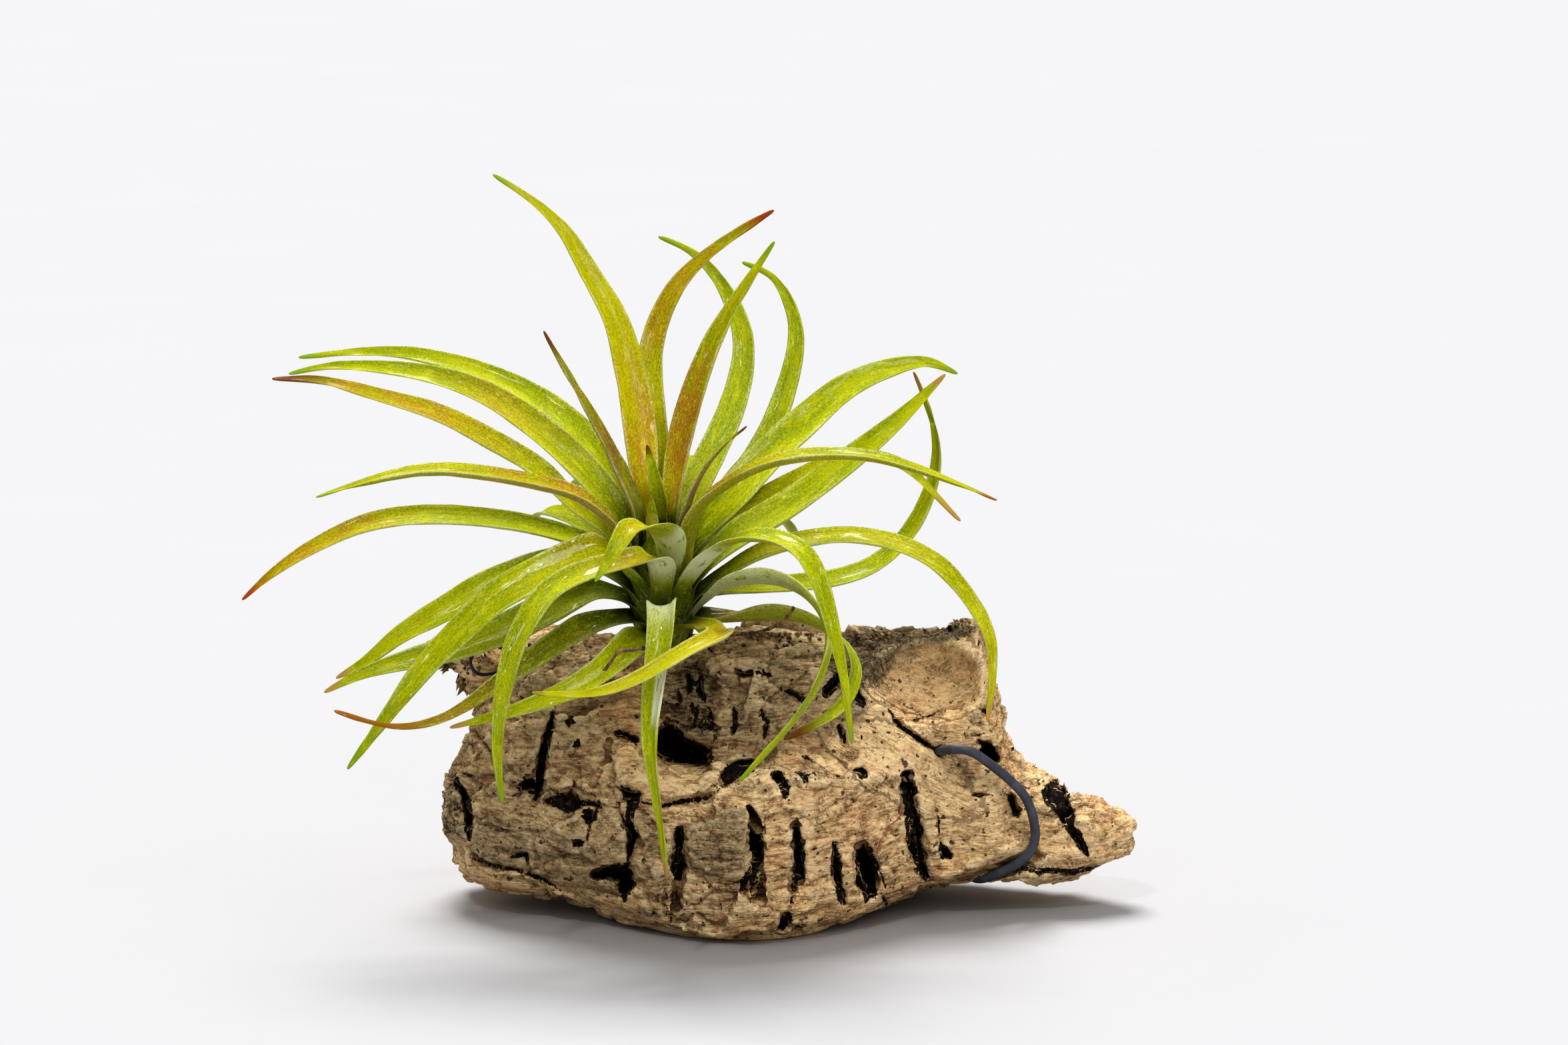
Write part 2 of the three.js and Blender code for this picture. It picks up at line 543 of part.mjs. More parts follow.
function corkBody() {
  const maker = new MeshMaker();
  const rings = [];
  const middles = [];
  for (let ring = 0; ring <= CORK_RINGS; ring += 1) {
    const station = corkStation(ring / CORK_RINGS);
    const [x, front, back, low, high] = station;
    const middle = new THREE.Vector3(x, (front + back) / 2, (low + high) / 2);
    const ledge = 1 - smoothStep(0.45, 1, Math.abs(x - LEDGE_CENTRE) / LEDGE_REACH);
    const row = [];
    for (let j = 0; j < CORK_SIDES; j += 1) {
      const point = corkPoint(station, ledge, j / CORK_SIDES);
      const outward = point.clone().sub(middle).normalize();
      const fine = smoothNoise(point, CORK_GRAIN) + 0.5 * smoothNoise(point, CORK_GRAIN / 2);
      const broken = Math.abs(smoothNoise(point, CORK_BACK_GRAIN)) * backShare(point.y);
      const relief = CORK_ROUGHNESS * fine - CORK_BACK_ROUGHNESS * broken;
      point.addScaledVector(outward, relief * footShare(point.z));
      point.z = Math.max(point.z, 0);
      row.push(maker.add(point));
    }
    rings.push(row);
    middles.push(middle);
  }
  for (let ring = 0; ring < CORK_RINGS; ring += 1) {
    for (let j = 0; j < CORK_SIDES; j += 1) {
      const next = (j + 1) % CORK_SIDES;
      maker.quad(rings[ring][j], rings[ring][next], rings[ring + 1][next], rings[ring + 1][j]);
    }
  }
  const [start, end] = [maker.add(middles[0]), maker.add(middles[CORK_RINGS])];
  for (let j = 0; j < CORK_SIDES; j += 1) {
    const next = (j + 1) % CORK_SIDES;
    maker.triangle(rings[0][next], rings[0][j], start);
    maker.triangle(rings[CORK_RINGS][j], rings[CORK_RINGS][next], end);
  }
  return toSolid(maker.geometry());
}

function blob([x, y, z], [rx, ry, rz], [tiltX, tiltY, tiltZ] = [0, 0, 0]) {
  const geometry = new THREE.SphereGeometry(1, 14, 9);
  geometry.scale(rx, ry, rz);
  geometry.applyMatrix4(new THREE.Matrix4().makeRotationFromEuler(
    new THREE.Euler(tiltX, tiltY, tiltZ),
  ));
  geometry.translate(x, y, z);
  return toSolid(geometry);
}

function slot([x, y, z], [width, depth, height], lean = 0) {
  const geometry = new THREE.BoxGeometry(width, depth, height, 1, 1, 3);
  geometry.rotateY(lean);
  geometry.translate(x, y, z);
  return toSolid(geometry);
}

const CORK_HORN = { centre: [-49, 14, 45], size: [9, 9, 5], tilt: [0, 0.25, 0] };
const CORK_HOLLOWS = [
  // cave under the plant
  { centre: [-10, -18, 34], size: [6.5, 10, 4], tilt: [0, 0.2, 0] },
  // dished wing at the upper right
  { centre: [37, -7, 46], size: [12, 13, 9], tilt: [0, 0.1, 0] },
  // hole at the right
  { centre: [47.5, -8, 32], size: [2, 8, 2], tilt: [0, 0, 0] },
  // seat of the plant
  { centre: [-13, 2, 56], size: [13, 13, 7], tilt: [0, 0, 0] },
];
const CORK_SLOTS = [
  { centre: [-19.5, -20, 22], size: [2.5, 12, 9], lean: -0.5 },
  { centre: [-10, -26, 12], size: [1.8, 10, 12], lean: 0.15 },
  { centre: [4.3, -28, 15.5], size: [2.2, 10, 15], lean: -0.08 },
  { centre: [12.2, -26, 16.8], size: [1.8, 10, 11], lean: -0.05 },
  { centre: [19.3, -22, 13.5], size: [1.4, 10, 12], lean: -0.1 },
  { centre: [24.8, -18, 12.6], size: [2.8, 10, 10], lean: -0.3 },
  { centre: [34.5, -12, 19], size: [2.4, 8, 18], lean: -0.25 },
  { centre: [62.7, -6, 18.5], size: [3, 8, 12], lean: -0.45 },
  // fissures of the back
  { centre: [-34, 28, 26], size: [3, 9, 26], lean: 0.35 },
  { centre: [-16, 31, 20], size: [3.5, 9, 24], lean: -0.25 },
  { centre: [2, 31, 30], size: [3, 9, 22], lean: 0.5 },
  { centre: [19, 29, 18], size: [3.5, 9, 22], lean: 0.1 },
  { centre: [35, 26, 28], size: [3, 9, 20], lean: -0.4 },
];

const TIE_WIRE = [
  [37, -2, 31], [38.5, -6, 32], [41, -10.5, 33.5], [44, -11, 33.5], [48, -9.5, 30.5],
  [52, -8.5, 27], [55, -8, 23.5], [56.5, -7.6, 19], [56.8, -7, 14.5], [54.5, -6, 10.8],
  [50, -5, 8], [46, -3, 6.2], [44, 2, 7],
];
const HANGING_LOOP = [
  [-43, 9, 48], [-45.5, 5, 49.8], [-48.5, 2.5, 49.6], [-49.8, 2, 47.3], [-48.6, 2.5, 45],
  [-45.5, 4.5, 44.6], [-43, 9, 45],
];

// The room a wire needs in the cork: round its whole length and past both of its ends.
function wireRoom(points, radius, steps) {
  const reach = radius + SEAT_GAP;
  const ends = [points[0], points[points.length - 1]];
  return ends.reduce(
    (room, end) => room.add(blob(end, [reach, reach, reach])),
    toSolid(tube(points, reach, WIRE_SIDES, steps)),
  );
}

function corkSolid() {
  const horn = blob(CORK_HORN.centre, CORK_HORN.size, CORK_HORN.tilt);
  let cork = corkBody().add(horn);
  CORK_HOLLOWS.forEach(({ centre, size, tilt }) => {
    cork = cork.subtract(blob(centre, size, tilt));
  });
  CORK_SLOTS.forEach(({ centre, size, lean }) => {
    cork = cork.subtract(slot(centre, size, lean));
  });
  cork = cork.subtract(stemSolid(SEAT_GAP));
  cork = cork.subtract(wireRoom(TIE_WIRE, WIRE_RADIUS, WIRE_STEPS));
  return cork.subtract(wireRoom(HANGING_LOOP, LOOP_RADIUS, LOOP_STEPS));
}

// Assembly

const plantOnCork = new THREE.Group();

function place(name, geometry, material) {
  const mesh = new THREE.Mesh(geometry, material);
  mesh.name = name;
  plantOnCork.add(mesh);
}

place('cork_bark', toGeometry(corkSolid()), CORK_FINISH);
place('stem', toGeometry(stemSolid(0)), STEM_FINISH);
LEAVES.forEach((leaf, index) => {
  const name = `leaf_${String(index + 1).padStart(2, '0')}`;
  place(name, leafGeometry(leaf), finish(LEAF_TONES[leaf.tone], 0.8));
});
place('tie_wire', tube(TIE_WIRE, WIRE_RADIUS, WIRE_SIDES, WIRE_STEPS), WIRE_FINISH);
place('hanging_loop', tube(HANGING_LOOP, LOOP_RADIUS, WIRE_SIDES, LOOP_STEPS), LOOP_FINISH);

export default plantOnCork;
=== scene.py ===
"""Tillandsia velutina on cork bark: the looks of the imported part.

Every leaf, the bark, the rootstock and the two wires start as copies of their solids and are
made finer here, in the same place and of the same form. Lengths in the classes are in
millimetres unless a name says otherwise, and they are turned to metres where a mesh is made.
"""
from __future__ import annotations

import itertools
import json
import logging
import math
from collections.abc import Iterator, Sequence
from contextlib import contextmanager
from dataclasses import dataclass, field
from enum import Enum

import bmesh
import bpy
import numpy as np
from bpy.types import Material, Node, NodeSocket, NodeTree, Object
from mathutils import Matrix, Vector
from mathutils.kdtree import KDTree

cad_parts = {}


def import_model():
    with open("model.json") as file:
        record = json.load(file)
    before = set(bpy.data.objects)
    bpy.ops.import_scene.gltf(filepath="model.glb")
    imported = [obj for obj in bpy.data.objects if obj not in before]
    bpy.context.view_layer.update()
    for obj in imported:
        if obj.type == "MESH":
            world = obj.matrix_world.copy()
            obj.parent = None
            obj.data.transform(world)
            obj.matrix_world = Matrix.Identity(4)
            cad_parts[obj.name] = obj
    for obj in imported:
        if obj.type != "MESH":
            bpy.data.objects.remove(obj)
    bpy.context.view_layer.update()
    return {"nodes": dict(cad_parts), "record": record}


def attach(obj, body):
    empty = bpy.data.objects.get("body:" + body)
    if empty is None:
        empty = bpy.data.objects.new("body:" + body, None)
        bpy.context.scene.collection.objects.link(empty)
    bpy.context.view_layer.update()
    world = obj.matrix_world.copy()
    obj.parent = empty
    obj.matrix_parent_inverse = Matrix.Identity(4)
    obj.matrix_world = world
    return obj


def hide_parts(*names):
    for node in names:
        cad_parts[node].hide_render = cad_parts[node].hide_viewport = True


log = logging.getLogger("tillandsia")

Array = np.ndarray
Pair = tuple[float, float]
Triple = tuple[float, float, float]

MM = 0.001
BODY = "root"
HASH_ROWS = ((127.1, 311.7, 74.7), (269.5, 183.3, 246.1), (113.5, 271.9, 124.6))
HASH_GAIN = 43758.5453
SEED_STEP = 17.31
RAGGED_PIXELS = 14


# Shared tools


def linear(hex_colour: str) -> tuple[float, float, float, float]:
    """Turns an sRGB hex colour into linear red, green, blue and alpha.

    Args:
        hex_colour: Six hex digits, with or without a leading hash.

    Returns:
        The colour as four linear values.
    """
    digits = hex_colour.lstrip("#")
    channels = [int(digits[i : i + 2], 16) / 255 for i in (0, 2, 4)]
    low, high = 12.92, 1.055
    values = [c / low if c <= 0.04045 else ((c + 0.055) / high) ** 2.4 for c in channels]
    return (values[0], values[1], values[2], 1.0)


def add_node(tree: NodeTree, kind: str, inputs: dict | None = None, **settings: object) -> Node:
    """Adds a node with its settings, values and links.

    Args:
        tree: The node tree it goes into.
        kind: The node's Blender type.
        inputs: Input name or index to a value, or to the output socket that feeds it.
        **settings: Attributes of the node itself.

    Returns:
        The new node.
    """
    node = tree.nodes.new(kind)
    for name, value in settings.items():
        setattr(node, name, value)
    for socket, value in (inputs or {}).items():
        if isinstance(value, NodeSocket):
            tree.links.new(value, node.inputs[socket])
        else:
            node.inputs[socket].default_value = value
    return node


def alone(piece: Object) -> None:
    """Selects one object and nothing else.

    Args:
        piece: The object that the next operators act on.
    """
    bpy.ops.object.select_all(action="DESELECT")
    piece.select_set(True)
    bpy.context.view_layer.objects.active = piece


@contextmanager
def edited(piece: Object) -> Iterator[None]:
    """Holds one piece in edit mode, with all of it selected at first.

    Args:
        piece: The mesh object.
    """
    alone(piece)
    bpy.ops.object.mode_set(mode="EDIT")
    bpy.ops.mesh.select_all(action="SELECT")
    yield
    bpy.ops.object.mode_set(mode="OBJECT")


def apply_modifier(piece: Object, kind: str, **settings: object) -> None:
    """Adds one modifier to a piece and applies it.

    Args:
        piece: The mesh object.
        kind: The modifier's Blender type.
        **settings: Attributes of the modifier.
    """
    alone(piece)
    modifier = piece.modifiers.new(kind.title(), kind)
    for name, value in settings.items():
        setattr(modifier, name, value)
    bpy.ops.object.modifier_apply(modifier=modifier.name)


def merged_copy(node: Object, name: str) -> Object:
    """Copies a solid's mesh into a new object with its loose triangles merged.

    Args:
        node: The solid's object, which is left as it is.
        name: The new piece's name.

    Returns:
        The new object, with no material.
    """
    piece = bpy.data.objects.new(name, node.data.copy())
    bpy.context.scene.collection.objects.link(piece)
    piece.data.materials.clear()
    with edited(piece):
        bpy.ops.mesh.remove_doubles(threshold=MM / 1000)
        bpy.ops.mesh.customdata_custom_splitnormals_clear()
    return piece


def points_of(piece: Object) -> Array:
    """Reads a mesh's points.

    Args:
        piece: The mesh object.

    Returns:
        The points in millimetres, one row each.
    """
    flat = np.empty(len(piece.data.vertices) * 3)
    piece.data.vertices.foreach_get("co", flat)
    return flat.reshape(-1, 3) / MM


def normals_of(piece: Object) -> Array:
    """Reads the normals at a mesh's points.

    Args:
        piece: The mesh object.

    Returns:
        One direction per point.
    """
    flat = np.empty(len(piece.data.vertices) * 3, np.float32)
    piece.data.vertex_normals.foreach_get("vector", flat)
    return flat.reshape(-1, 3).astype(float)


def move_points(piece: Object, points: Array) -> None:
    """Writes back a mesh's points, which are rows in millimetres."""
    piece.data.vertices.foreach_set("co", (points * MM).ravel())
    piece.data.update()


def write_marks(piece: Object, name: str, columns: Sequence[Array]) -> None:
    """Stores four values at each point as a colour attribute.

    Args:
        piece: The mesh object.
        name: The attribute's name.
        columns: Up to four arrays of one value per point.
    """
    values = np.zeros((len(piece.data.vertices), 4), np.float32)
    for index, column in enumerate(columns):
        values[:, index] = np.clip(column, 0, 1)
    layer = piece.data.attributes.new(name, "FLOAT_COLOR", "POINT")
    layer.data.foreach_set("color", values.ravel())


def write_vectors(piece: Object, name: str, rows: Array) -> None:
    """Stores a vector at each point as an attribute."""
    layer = piece.data.attributes.new(name, "FLOAT_VECTOR", "POINT")
    layer.data.foreach_set("vector", rows.astype(np.float32).ravel())


def smooth_step(low: float, high: float, value: Array | float) -> Array:
    """Rises smoothly from 0 at low to 1 at high, for either order of the two."""
    share = np.clip((np.asarray(value, float) - low) / (high - low), 0, 1)
    return share * share * (3 - 2 * share)


def stepped(value: Array, steps: float, softness: float = 0.2) -> Array:
    """Breaks a smooth value into flat steps with steep risers.

    Args:
        value: The smooth values.
        steps: How many steps there are in each unit.
        softness: Half the width of a riser, as a share of a step.

    Returns:
        The stepped values.
    """
    scaled = value * steps
    low = np.floor(scaled)
    return (low + smooth_step(0.5 - softness, 0.5 + softness, scaled - low)) / steps


def scattered(cells: Array, row: Triple) -> Array:
    """Gives each cell of a whole-numbered grid a number from 0 to 1 that looks random."""
    mixed = np.sin(cells @ row) * HASH_GAIN
    return mixed - np.floor(mixed)


def noise(points: Array, size: float, seed: int = 0) -> Array:
    """Gives smooth noise from -1 to 1 at each point.

    Args:
        points: Points in millimetres, one row each.
        size: The width of the noise's cells in millimetres.
        seed: Chooses another pattern of the same kind.

    Returns:
        One value per point.
    """
    scaled = points / size + seed * SEED_STEP
    low = np.floor(scaled)
    part = scaled - low
    part = part * part * (3 - 2 * part)
    total = np.zeros(len(points))
    for corner in itertools.product((0, 1), repeat=3):
        weight = np.prod(np.where(np.array(corner) == 1, part, 1 - part), axis=1)
        total += weight * (2 * scattered(low + corner, HASH_ROWS[0]) - 1)
    return total


def shards(points: Array, size: float, seed: int = 0) -> tuple[Array, Array]:
    """Divides space into flat-faced chips, as broken bark is.

    Args:
        points: Points in millimetres, one row each.
        size: The chips' mean width in millimetres.
        seed: Chooses another pattern of the same kind.

    Returns:
        Each point's height on its chip's tilted face, from about -1 to 1, and its distance from
        the chip's edge, as a share of the chip's width.
    """
    scaled = points / size + seed * SEED_STEP
    low = np.floor(scaled)
    first = np.full(len(points), np.inf)
    second = np.full(len(points), np.inf)
    height = np.zeros(len(points))
    for step in itertools.product((-1, 0, 1), repeat=3):
        cell = low + step
        part = np.stack([scattered(cell, row) for row in HASH_ROWS], axis=1)
        offset = scaled - cell - part
        gap = (offset**2).sum(axis=1)
        own = 0.7 * (2 * part[:, 0] - 1) + 0.8 * (offset * (2 * part[:, [1, 2, 0]] - 1)).sum(axis=1)
        closer = gap < first
        second = np.where(closer, first, np.minimum(second, gap))
        height = np.where(closer, own, height)
        first = np.where(closer, gap, first)
    return height, np.sqrt(second) - np.sqrt(first)


def finish_piece(piece: Object, material: Material, slot: str, *nodes: str) -> None:
    """Gives a piece its material and body, and hides the solids it stands for.

    Args:
        piece: The finished mesh object.
        material: Its material.
        slot: The record's material slot; not used.
        *nodes: The solids that it replaces.
    """
    piece.data.materials.clear()
    piece.data.materials.append(material)
    alone(piece)
    bpy.ops.object.shade_smooth()
    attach(piece, BODY)
    if nodes:
        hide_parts(*nodes)
    triangles = sum(len(face.vertices) - 2 for face in piece.data.polygons)
    log.info("%s: %d triangles", piece.name, triangles)


# The view


@dataclass(frozen=True)
class FrontView:
    """The photograph's view: where its camera stands and how it projects."""

    target: Triple = (9.5, 0.0, 74.7)
    distance: float = 1200.0
    elevation: float = 12.0
    pixels_per_mm: float = 8.0
    width: int = 2352
    height: int = 1568
    sensor: float = 36.0

    def axes(self) -> tuple[Array, Array, Array]:
        """Works out the view's directions.

        Returns:
            The directions to the right, up and forward.
        """
        angle = math.radians(self.elevation)
        right = np.array([1.0, 0.0, 0.0])
        up = np.array([0.0, math.sin(angle), math.cos(angle)])
        forward = np.array([0.0, math.cos(angle), -math.sin(angle)])
        return right, up, forward

    def camera_place(self) -> Array:
        """Gives the camera's place in millimetres."""
        return np.array(self.target) - self.distance * self.axes()[2]

    def pixels(self, points: Array) -> Array:
        """Projects points into the photograph.

        Args:
            points: Points in millimetres, one row each.

        Returns:
            Each point's pixel, across and down.
        """
        right, up, forward = self.axes()
        offset = points - self.camera_place()
        scale = self.pixels_per_mm * self.distance / (offset @ forward)
        across = self.width / 2 + scale * (offset @ right)
        down = self.height / 2 - scale * (offset @ up)
        return np.stack([across, down], axis=1)

    def lens(self) -> float:
        """Gives the focal length that shows the photograph's width."""
        return self.sensor * self.distance * self.pixels_per_mm / self.width


VIEW = FrontView()


# Finishes


@dataclass(frozen=True)
class Grain:
    """A noise in a finish.

    Its cells are counted in each metre of the object's own coordinates, or in each millimetre
    of a vector attribute.
    """

    source: str
    cells: Triple
    detail: float = 3.0
    distortion: float = 0.0
    roughness: float = 0.5


@dataclass(frozen=True)
class Band:
    """A field that goes smoothly from 0 to 1 between two values of another one."""

    source: str
    low: float
    high: float


@dataclass(frozen=True)
class Product:
    """A field that is strong where all of its factors are."""

    factors: tuple[str, ...]
    amount: float = 1.0


@dataclass(frozen=True)
class Layer:
    """A colour laid over the ones below, as far as all of its factors are strong."""

    colour: str
    factors: tuple[str, ...]
    amount: float = 1.0


@dataclass(frozen=True)
class Finish:
    """A procedural surface: colours laid over each other by fields, and a fine relief.

    The fields come from the mesh's attributes and from noise. Each mark is a colour attribute
    whose three channels are fields with names of their own.
    """

    name: str
    base: str
    steps: dict[str, Grain | Band | Product]
    layers: tuple[Layer, ...]
    relief: dict[str, float]
    relief_depth: float
    relief_strength: float = 1.0
    marks: dict[str, tuple[str, str, str]] = field(default_factory=dict)
    vectors: tuple[str, ...] = ()
    linked: dict[str, str] = field(default_factory=dict)
    values: dict[str, float | Triple] = field(default_factory=dict)

    def material(self) -> Material:
        """Makes the material, or gives the one that already has its name.

        Returns:
            The material.
        """
        if self.name in bpy.data.materials:
            return bpy.data.materials[self.name]
        made = bpy.data.materials.new(self.name)
        made.use_nodes = True
        tree = made.node_tree
        shader = tree.nodes["Principled BSDF"]
        fields = self.fields(tree)
        colour = linear(self.base)
        for layer in self.layers:
            share = self.multiplied(tree, fields, layer)
            inputs = {0: share, 6: colour, 7: linear(layer.colour)}
            colour = add_node(tree, "ShaderNodeMix", inputs, data_type="RGBA").outputs[2]
        tree.links.new(colour, shader.inputs["Base Color"])
        height = 0.0
        for factor, weight in self.relief.items():
            inputs = {0: fields[factor], 1: weight, 2: height}
            height = add_node(tree, "ShaderNodeMath", inputs, operation="MULTIPLY_ADD").outputs[0]
        inputs = {"Height": height, "Strength": self.relief_strength, "Distance": self.relief_depth * MM}
        bump = add_node(tree, "ShaderNodeBump", inputs)
        tree.links.new(bump.outputs["Normal"], shader.inputs["Normal"])
        for socket, name in self.linked.items():
            tree.links.new(fields[name], shader.inputs[socket])
        for socket, value in self.values.items():
            shader.inputs[socket].default_value = value
        return made

    def fields(self, tree: NodeTree) -> dict[str, NodeSocket]:
        """Adds the nodes of every field.

        Args:
            tree: The material's node tree.

        Returns:
            Each field's output socket by name.
        """
        fields = {"object": add_node(tree, "ShaderNodeTexCoord").outputs["Object"]}
        for name in self.vectors:
            held = add_node(tree, "ShaderNodeAttribute", attribute_name=name)
            fields[name] = held.outputs["Vector"]
        for name, channels in self.marks.items():
            held = add_node(tree, "ShaderNodeAttribute", attribute_name=name)
            split = add_node(tree, "ShaderNodeSeparateColor", {"Color": held.outputs["Color"]})
            fields.update(zip(channels, split.outputs))
        for name, step in self.steps.items():
            if isinstance(step, Grain):
                inputs = {"Vector": fields[step.source], "Scale": step.cells}
                inputs = {
                    "Vector": add_node(tree, "ShaderNodeMapping", inputs).outputs["Vector"],
                    "Scale": 1.0,
                    "Detail": step.detail,
                    "Distortion": step.distortion,
                    "Roughness": step.roughness,
                }
                fields[name] = add_node(tree, "ShaderNodeTexNoise", inputs).outputs["Fac"]
            elif isinstance(step, Band):
                inputs = {"Value": fields[step.source], "From Min": step.low, "From Max": step.high}
                rise = add_node(tree, "ShaderNodeMapRange", inputs, interpolation_type="SMOOTHSTEP")
                fields[name] = rise.outputs["Result"]
            else:
                fields[name] = self.multiplied(tree, fields, step)
        return fields

    @staticmethod
    def multiplied(
        tree: NodeTree, fields: dict[str, NodeSocket], step: Layer | Product
    ) -> NodeSocket:
        """Multiplies the factors of a layer or a product with its amount.

        Args:
            tree: The material's node tree.
            fields: The fields made so far.
            step: What names the factors.

        Returns:
            The result's socket.
        """
        share = step.amount
        for factor in step.factors:
            inputs = {0: fields[factor], 1: share}
            share = add_node(tree, "ShaderNodeMath", inputs, operation="MULTIPLY").outputs[0]
        return share


@dataclass(frozen=True)
class Lamp:
    """One far lamp, as even over the floor as a large softbox.

    Its place is the direction that it shines from, and its spread the angle that it fills, in
    degrees.
    """

    name: str
    place: Triple
    spread: float
    strength: float

    def build(self) -> Object:
        """Adds the lamp.

        Returns:
            The lamp.
        """
        bpy.ops.object.light_add(type="SUN", location=self.place)
        light = bpy.context.object
        light.name = self.name
        light.data.angle = math.radians(self.spread)
        light.data.energy = self.strength
        light.rotation_euler = (-Vector(self.place)).to_track_quat("-Z", "Y").to_euler()
        return light


@dataclass
class Studio:
    """The camera, the pale cloth that the piece stands on, and soft light."""

    key: Lamp = Lamp("overhead_key", (-0.08, 0.5, 1.0), 26, 2.75)
    fill: Lamp = Lamp("front_fill", (0.35, -0.85, 1.0), 36, 1.75)
    glint: Lamp = Lamp("wet_glint", (-0.3, -0.6, 1.0), 5, 0.3)
    floor_half: float = 3000.0
    sky_colour: str = "#F6F6F8"
    horizon: float = 0.15
    zenith: float = 0.54

    def build(self) -> None:
        """Makes the camera, the floor and the lights."""
        self.add_camera()
        self.add_lights(self.add_floor())
        settings = bpy.context.scene.view_settings
        settings.view_transform = "Standard"
        settings.look = "Medium High Contrast"

    def add_camera(self) -> None:
        """Sets the camera where the photograph's stood."""
        bpy.ops.object.camera_add(
            location=tuple(VIEW.camera_place() * MM),
            rotation=(math.radians(90 - VIEW.elevation), 0, 0),
        )
        camera = bpy.context.object
        camera.name = "photo_camera"
        camera.data.lens = VIEW.lens()
        camera.data.sensor_width = VIEW.sensor
        bpy.context.scene.camera = camera

    def add_floor(self) -> Object:
        """Lays the floor just under the bark.

        Returns:
            The floor.
        """
        bpy.ops.object.select_all(action="DESELECT")
        bpy.ops.mesh.primitive_plane_add(size=2 * self.floor_half * MM)
        floor = bpy.context.object
        floor.name = "floor_cloth"
        floor.data.materials.append(FloorCloth().material())
        return floor

    def add_lights(self, floor: Object) -> None:
        """Adds a wide lamp high at the back left, a front fill, a small glint and a soft sky.

        Args:
            floor: The floor, which a card keeps the front fill off.
        """
        self.key.build()
        fill = self.fill.build()
        self.glint.build()
        bpy.ops.object.select_all(action="DESELECT")
        floor.select_set(True)
        bpy.context.view_layer.objects.active = fill
        bpy.ops.object.light_linking_receivers_link(link_state="EXCLUDE")
        world = bpy.data.worlds.new("studio_sky")
        world.use_nodes = True
        tree = world.node_tree
        background = tree.nodes["Background"]
        background.inputs["Color"].default_value = linear(self.sky_colour)
        place = add_node(tree, "ShaderNodeTexCoord")
        height = add_node(tree, "ShaderNodeSeparateXYZ", {"Vector": place.outputs["Generated"]})
        inputs = {"Value": height.outputs["Z"], "To Min": self.horizon, "To Max": self.zenith}
        rise = add_node(tree, "ShaderNodeMapRange", inputs)
        tree.links.new(rise.outputs["Result"], background.inputs["Strength"])
        bpy.context.scene.world = world


@dataclass(frozen=True)
class FloorCloth:
    """White cotton cloth: matt, woven, an even pale ground with a faint rib of threads."""

    colour: str = "#D0CFD0"
    worn: str = "#C9C8CA"

    def material(self) -> Material:
        """Makes the cloth's material. Its threads lie 0.6 mm apart."""
        return Finish(
            name="white_cotton_cloth",
            base=self.colour,
            steps={
                "ribs": Grain("object", (40.0, 1600.0, 1.0), 2.0, 0.3),
                "slubs": Grain("object", (14.0, 22.0, 1.0), 3.0),
            },
            layers=(Layer(self.worn, ("slubs",), 0.5), Layer(self.worn, ("ribs",), 0.35)),
            relief={"ribs": 1.0},
            relief_depth=0.12,
            relief_strength=0.3,
            values={"Roughness": 0.85},
        ).material()


# Leaves


class TipHue(Enum):
    """The colour that a leaf's tip dries to."""

    GREEN = "#86A01A"
    OLIVE = "#8E8418"
    STRAW = "#B08C46"
    RED = "#94420E"
    BROWN = "#6E4418"
    SOFT_BROWN = "#96601A"


@dataclass(frozen=True)
class Stretch:
    """A length of a leaf, from 0 at the stem to 1 at the tip, and how strongly it is marked."""

    start: float
    end: float
    strength: float
    edge: float = 0.12

    def share(self, along: Array) -> Array:
        """Says how strongly each place along the leaf is marked."""
        rise = smooth_step(self.start - self.edge, self.start + self.edge, along)
        return self.strength * rise * smooth_step(self.end + self.edge, self.end - self.edge, along)


NOWHERE = Stretch(0.0, 0.0, 0.0)


@dataclass(frozen=True)
class LeafLook:
    """What one leaf's surface shows: where it blushes, is powdered with scales, or has dried, how far up it
    the painted shade at the centre of the rosette reaches, and where a painted highlight streak lies.
    """

    tip: tuple[TipHue, float] = (TipHue.SOFT_BROWN, 0.05)
    blush: Stretch = NOWHERE
    bloom: Stretch = NOWHERE
    inner_bloom: Stretch = NOWHERE
    base_silver: float = -0.05
    under_silver: float = 0.22
    inner_silver: float = 0.0
    pink: float = 0.06
    wet: float = 0.3
    shade: float = 0.12
    # Painted highlight: a pale streak on one half of a stretch of the blade.
    painted_highlight_streak: Stretch = NOWHERE


LEAF_FIELDS = {
    "clouds": Grain("blade", (0.16, 0.05, 1.0)),
    "streaks": Grain("blade", (1.6, 0.06, 1.0), 4.0),
    "veins": Grain("blade", (2.6, 0.03, 1.0), 2.0),
    "scales": Grain("blade", (3.3, 1.9, 3.3), 2.0),
    "mottles": Grain("blade", (0.75, 0.32, 1.0), 4.0, 0.4),
    "patches": Grain("blade", (0.35, 0.16, 1.0), 5.0, 0.6),
    "ripples": Grain("blade", (1.3, 0.22, 1.0), 3.0, 0.8),
    "beads": Grain("blade", (1.0, 0.7, 1.0), 1.0),
    "light_clouds": Band("clouds", 0.38, 0.62),
    "dark_streaks": Band("streaks", 0.45, 0.7),
    "dark_veins": Band("veins", 0.5, 0.72),
    "bright_mottles": Band("mottles", 0.5, 0.66),
    "bright_scales": Band("scales", 0.52, 0.66),
    "dark_scales": Band("scales", 0.47, 0.35),
    "down": Band("scales", 0.36, 0.58),
    "worn_down": Band("mottles", 0.3, 0.62),
    "powder": Band("mottles", 0.34, 0.44),
    "blushed": Band("patches", 0.25, 0.6),
    "freckled": Band("mottles", 0.55, 0.68),
    "wet_patches": Band("patches", 0.46, 0.56),
    # Masks for the painted glints on the water.
    "glint_ripples": Band("ripples", 0.6, 0.7),
    "glint_beads": Band("beads", 0.7, 0.74),
    "water": Product(("wet", "wet_patches")),
}


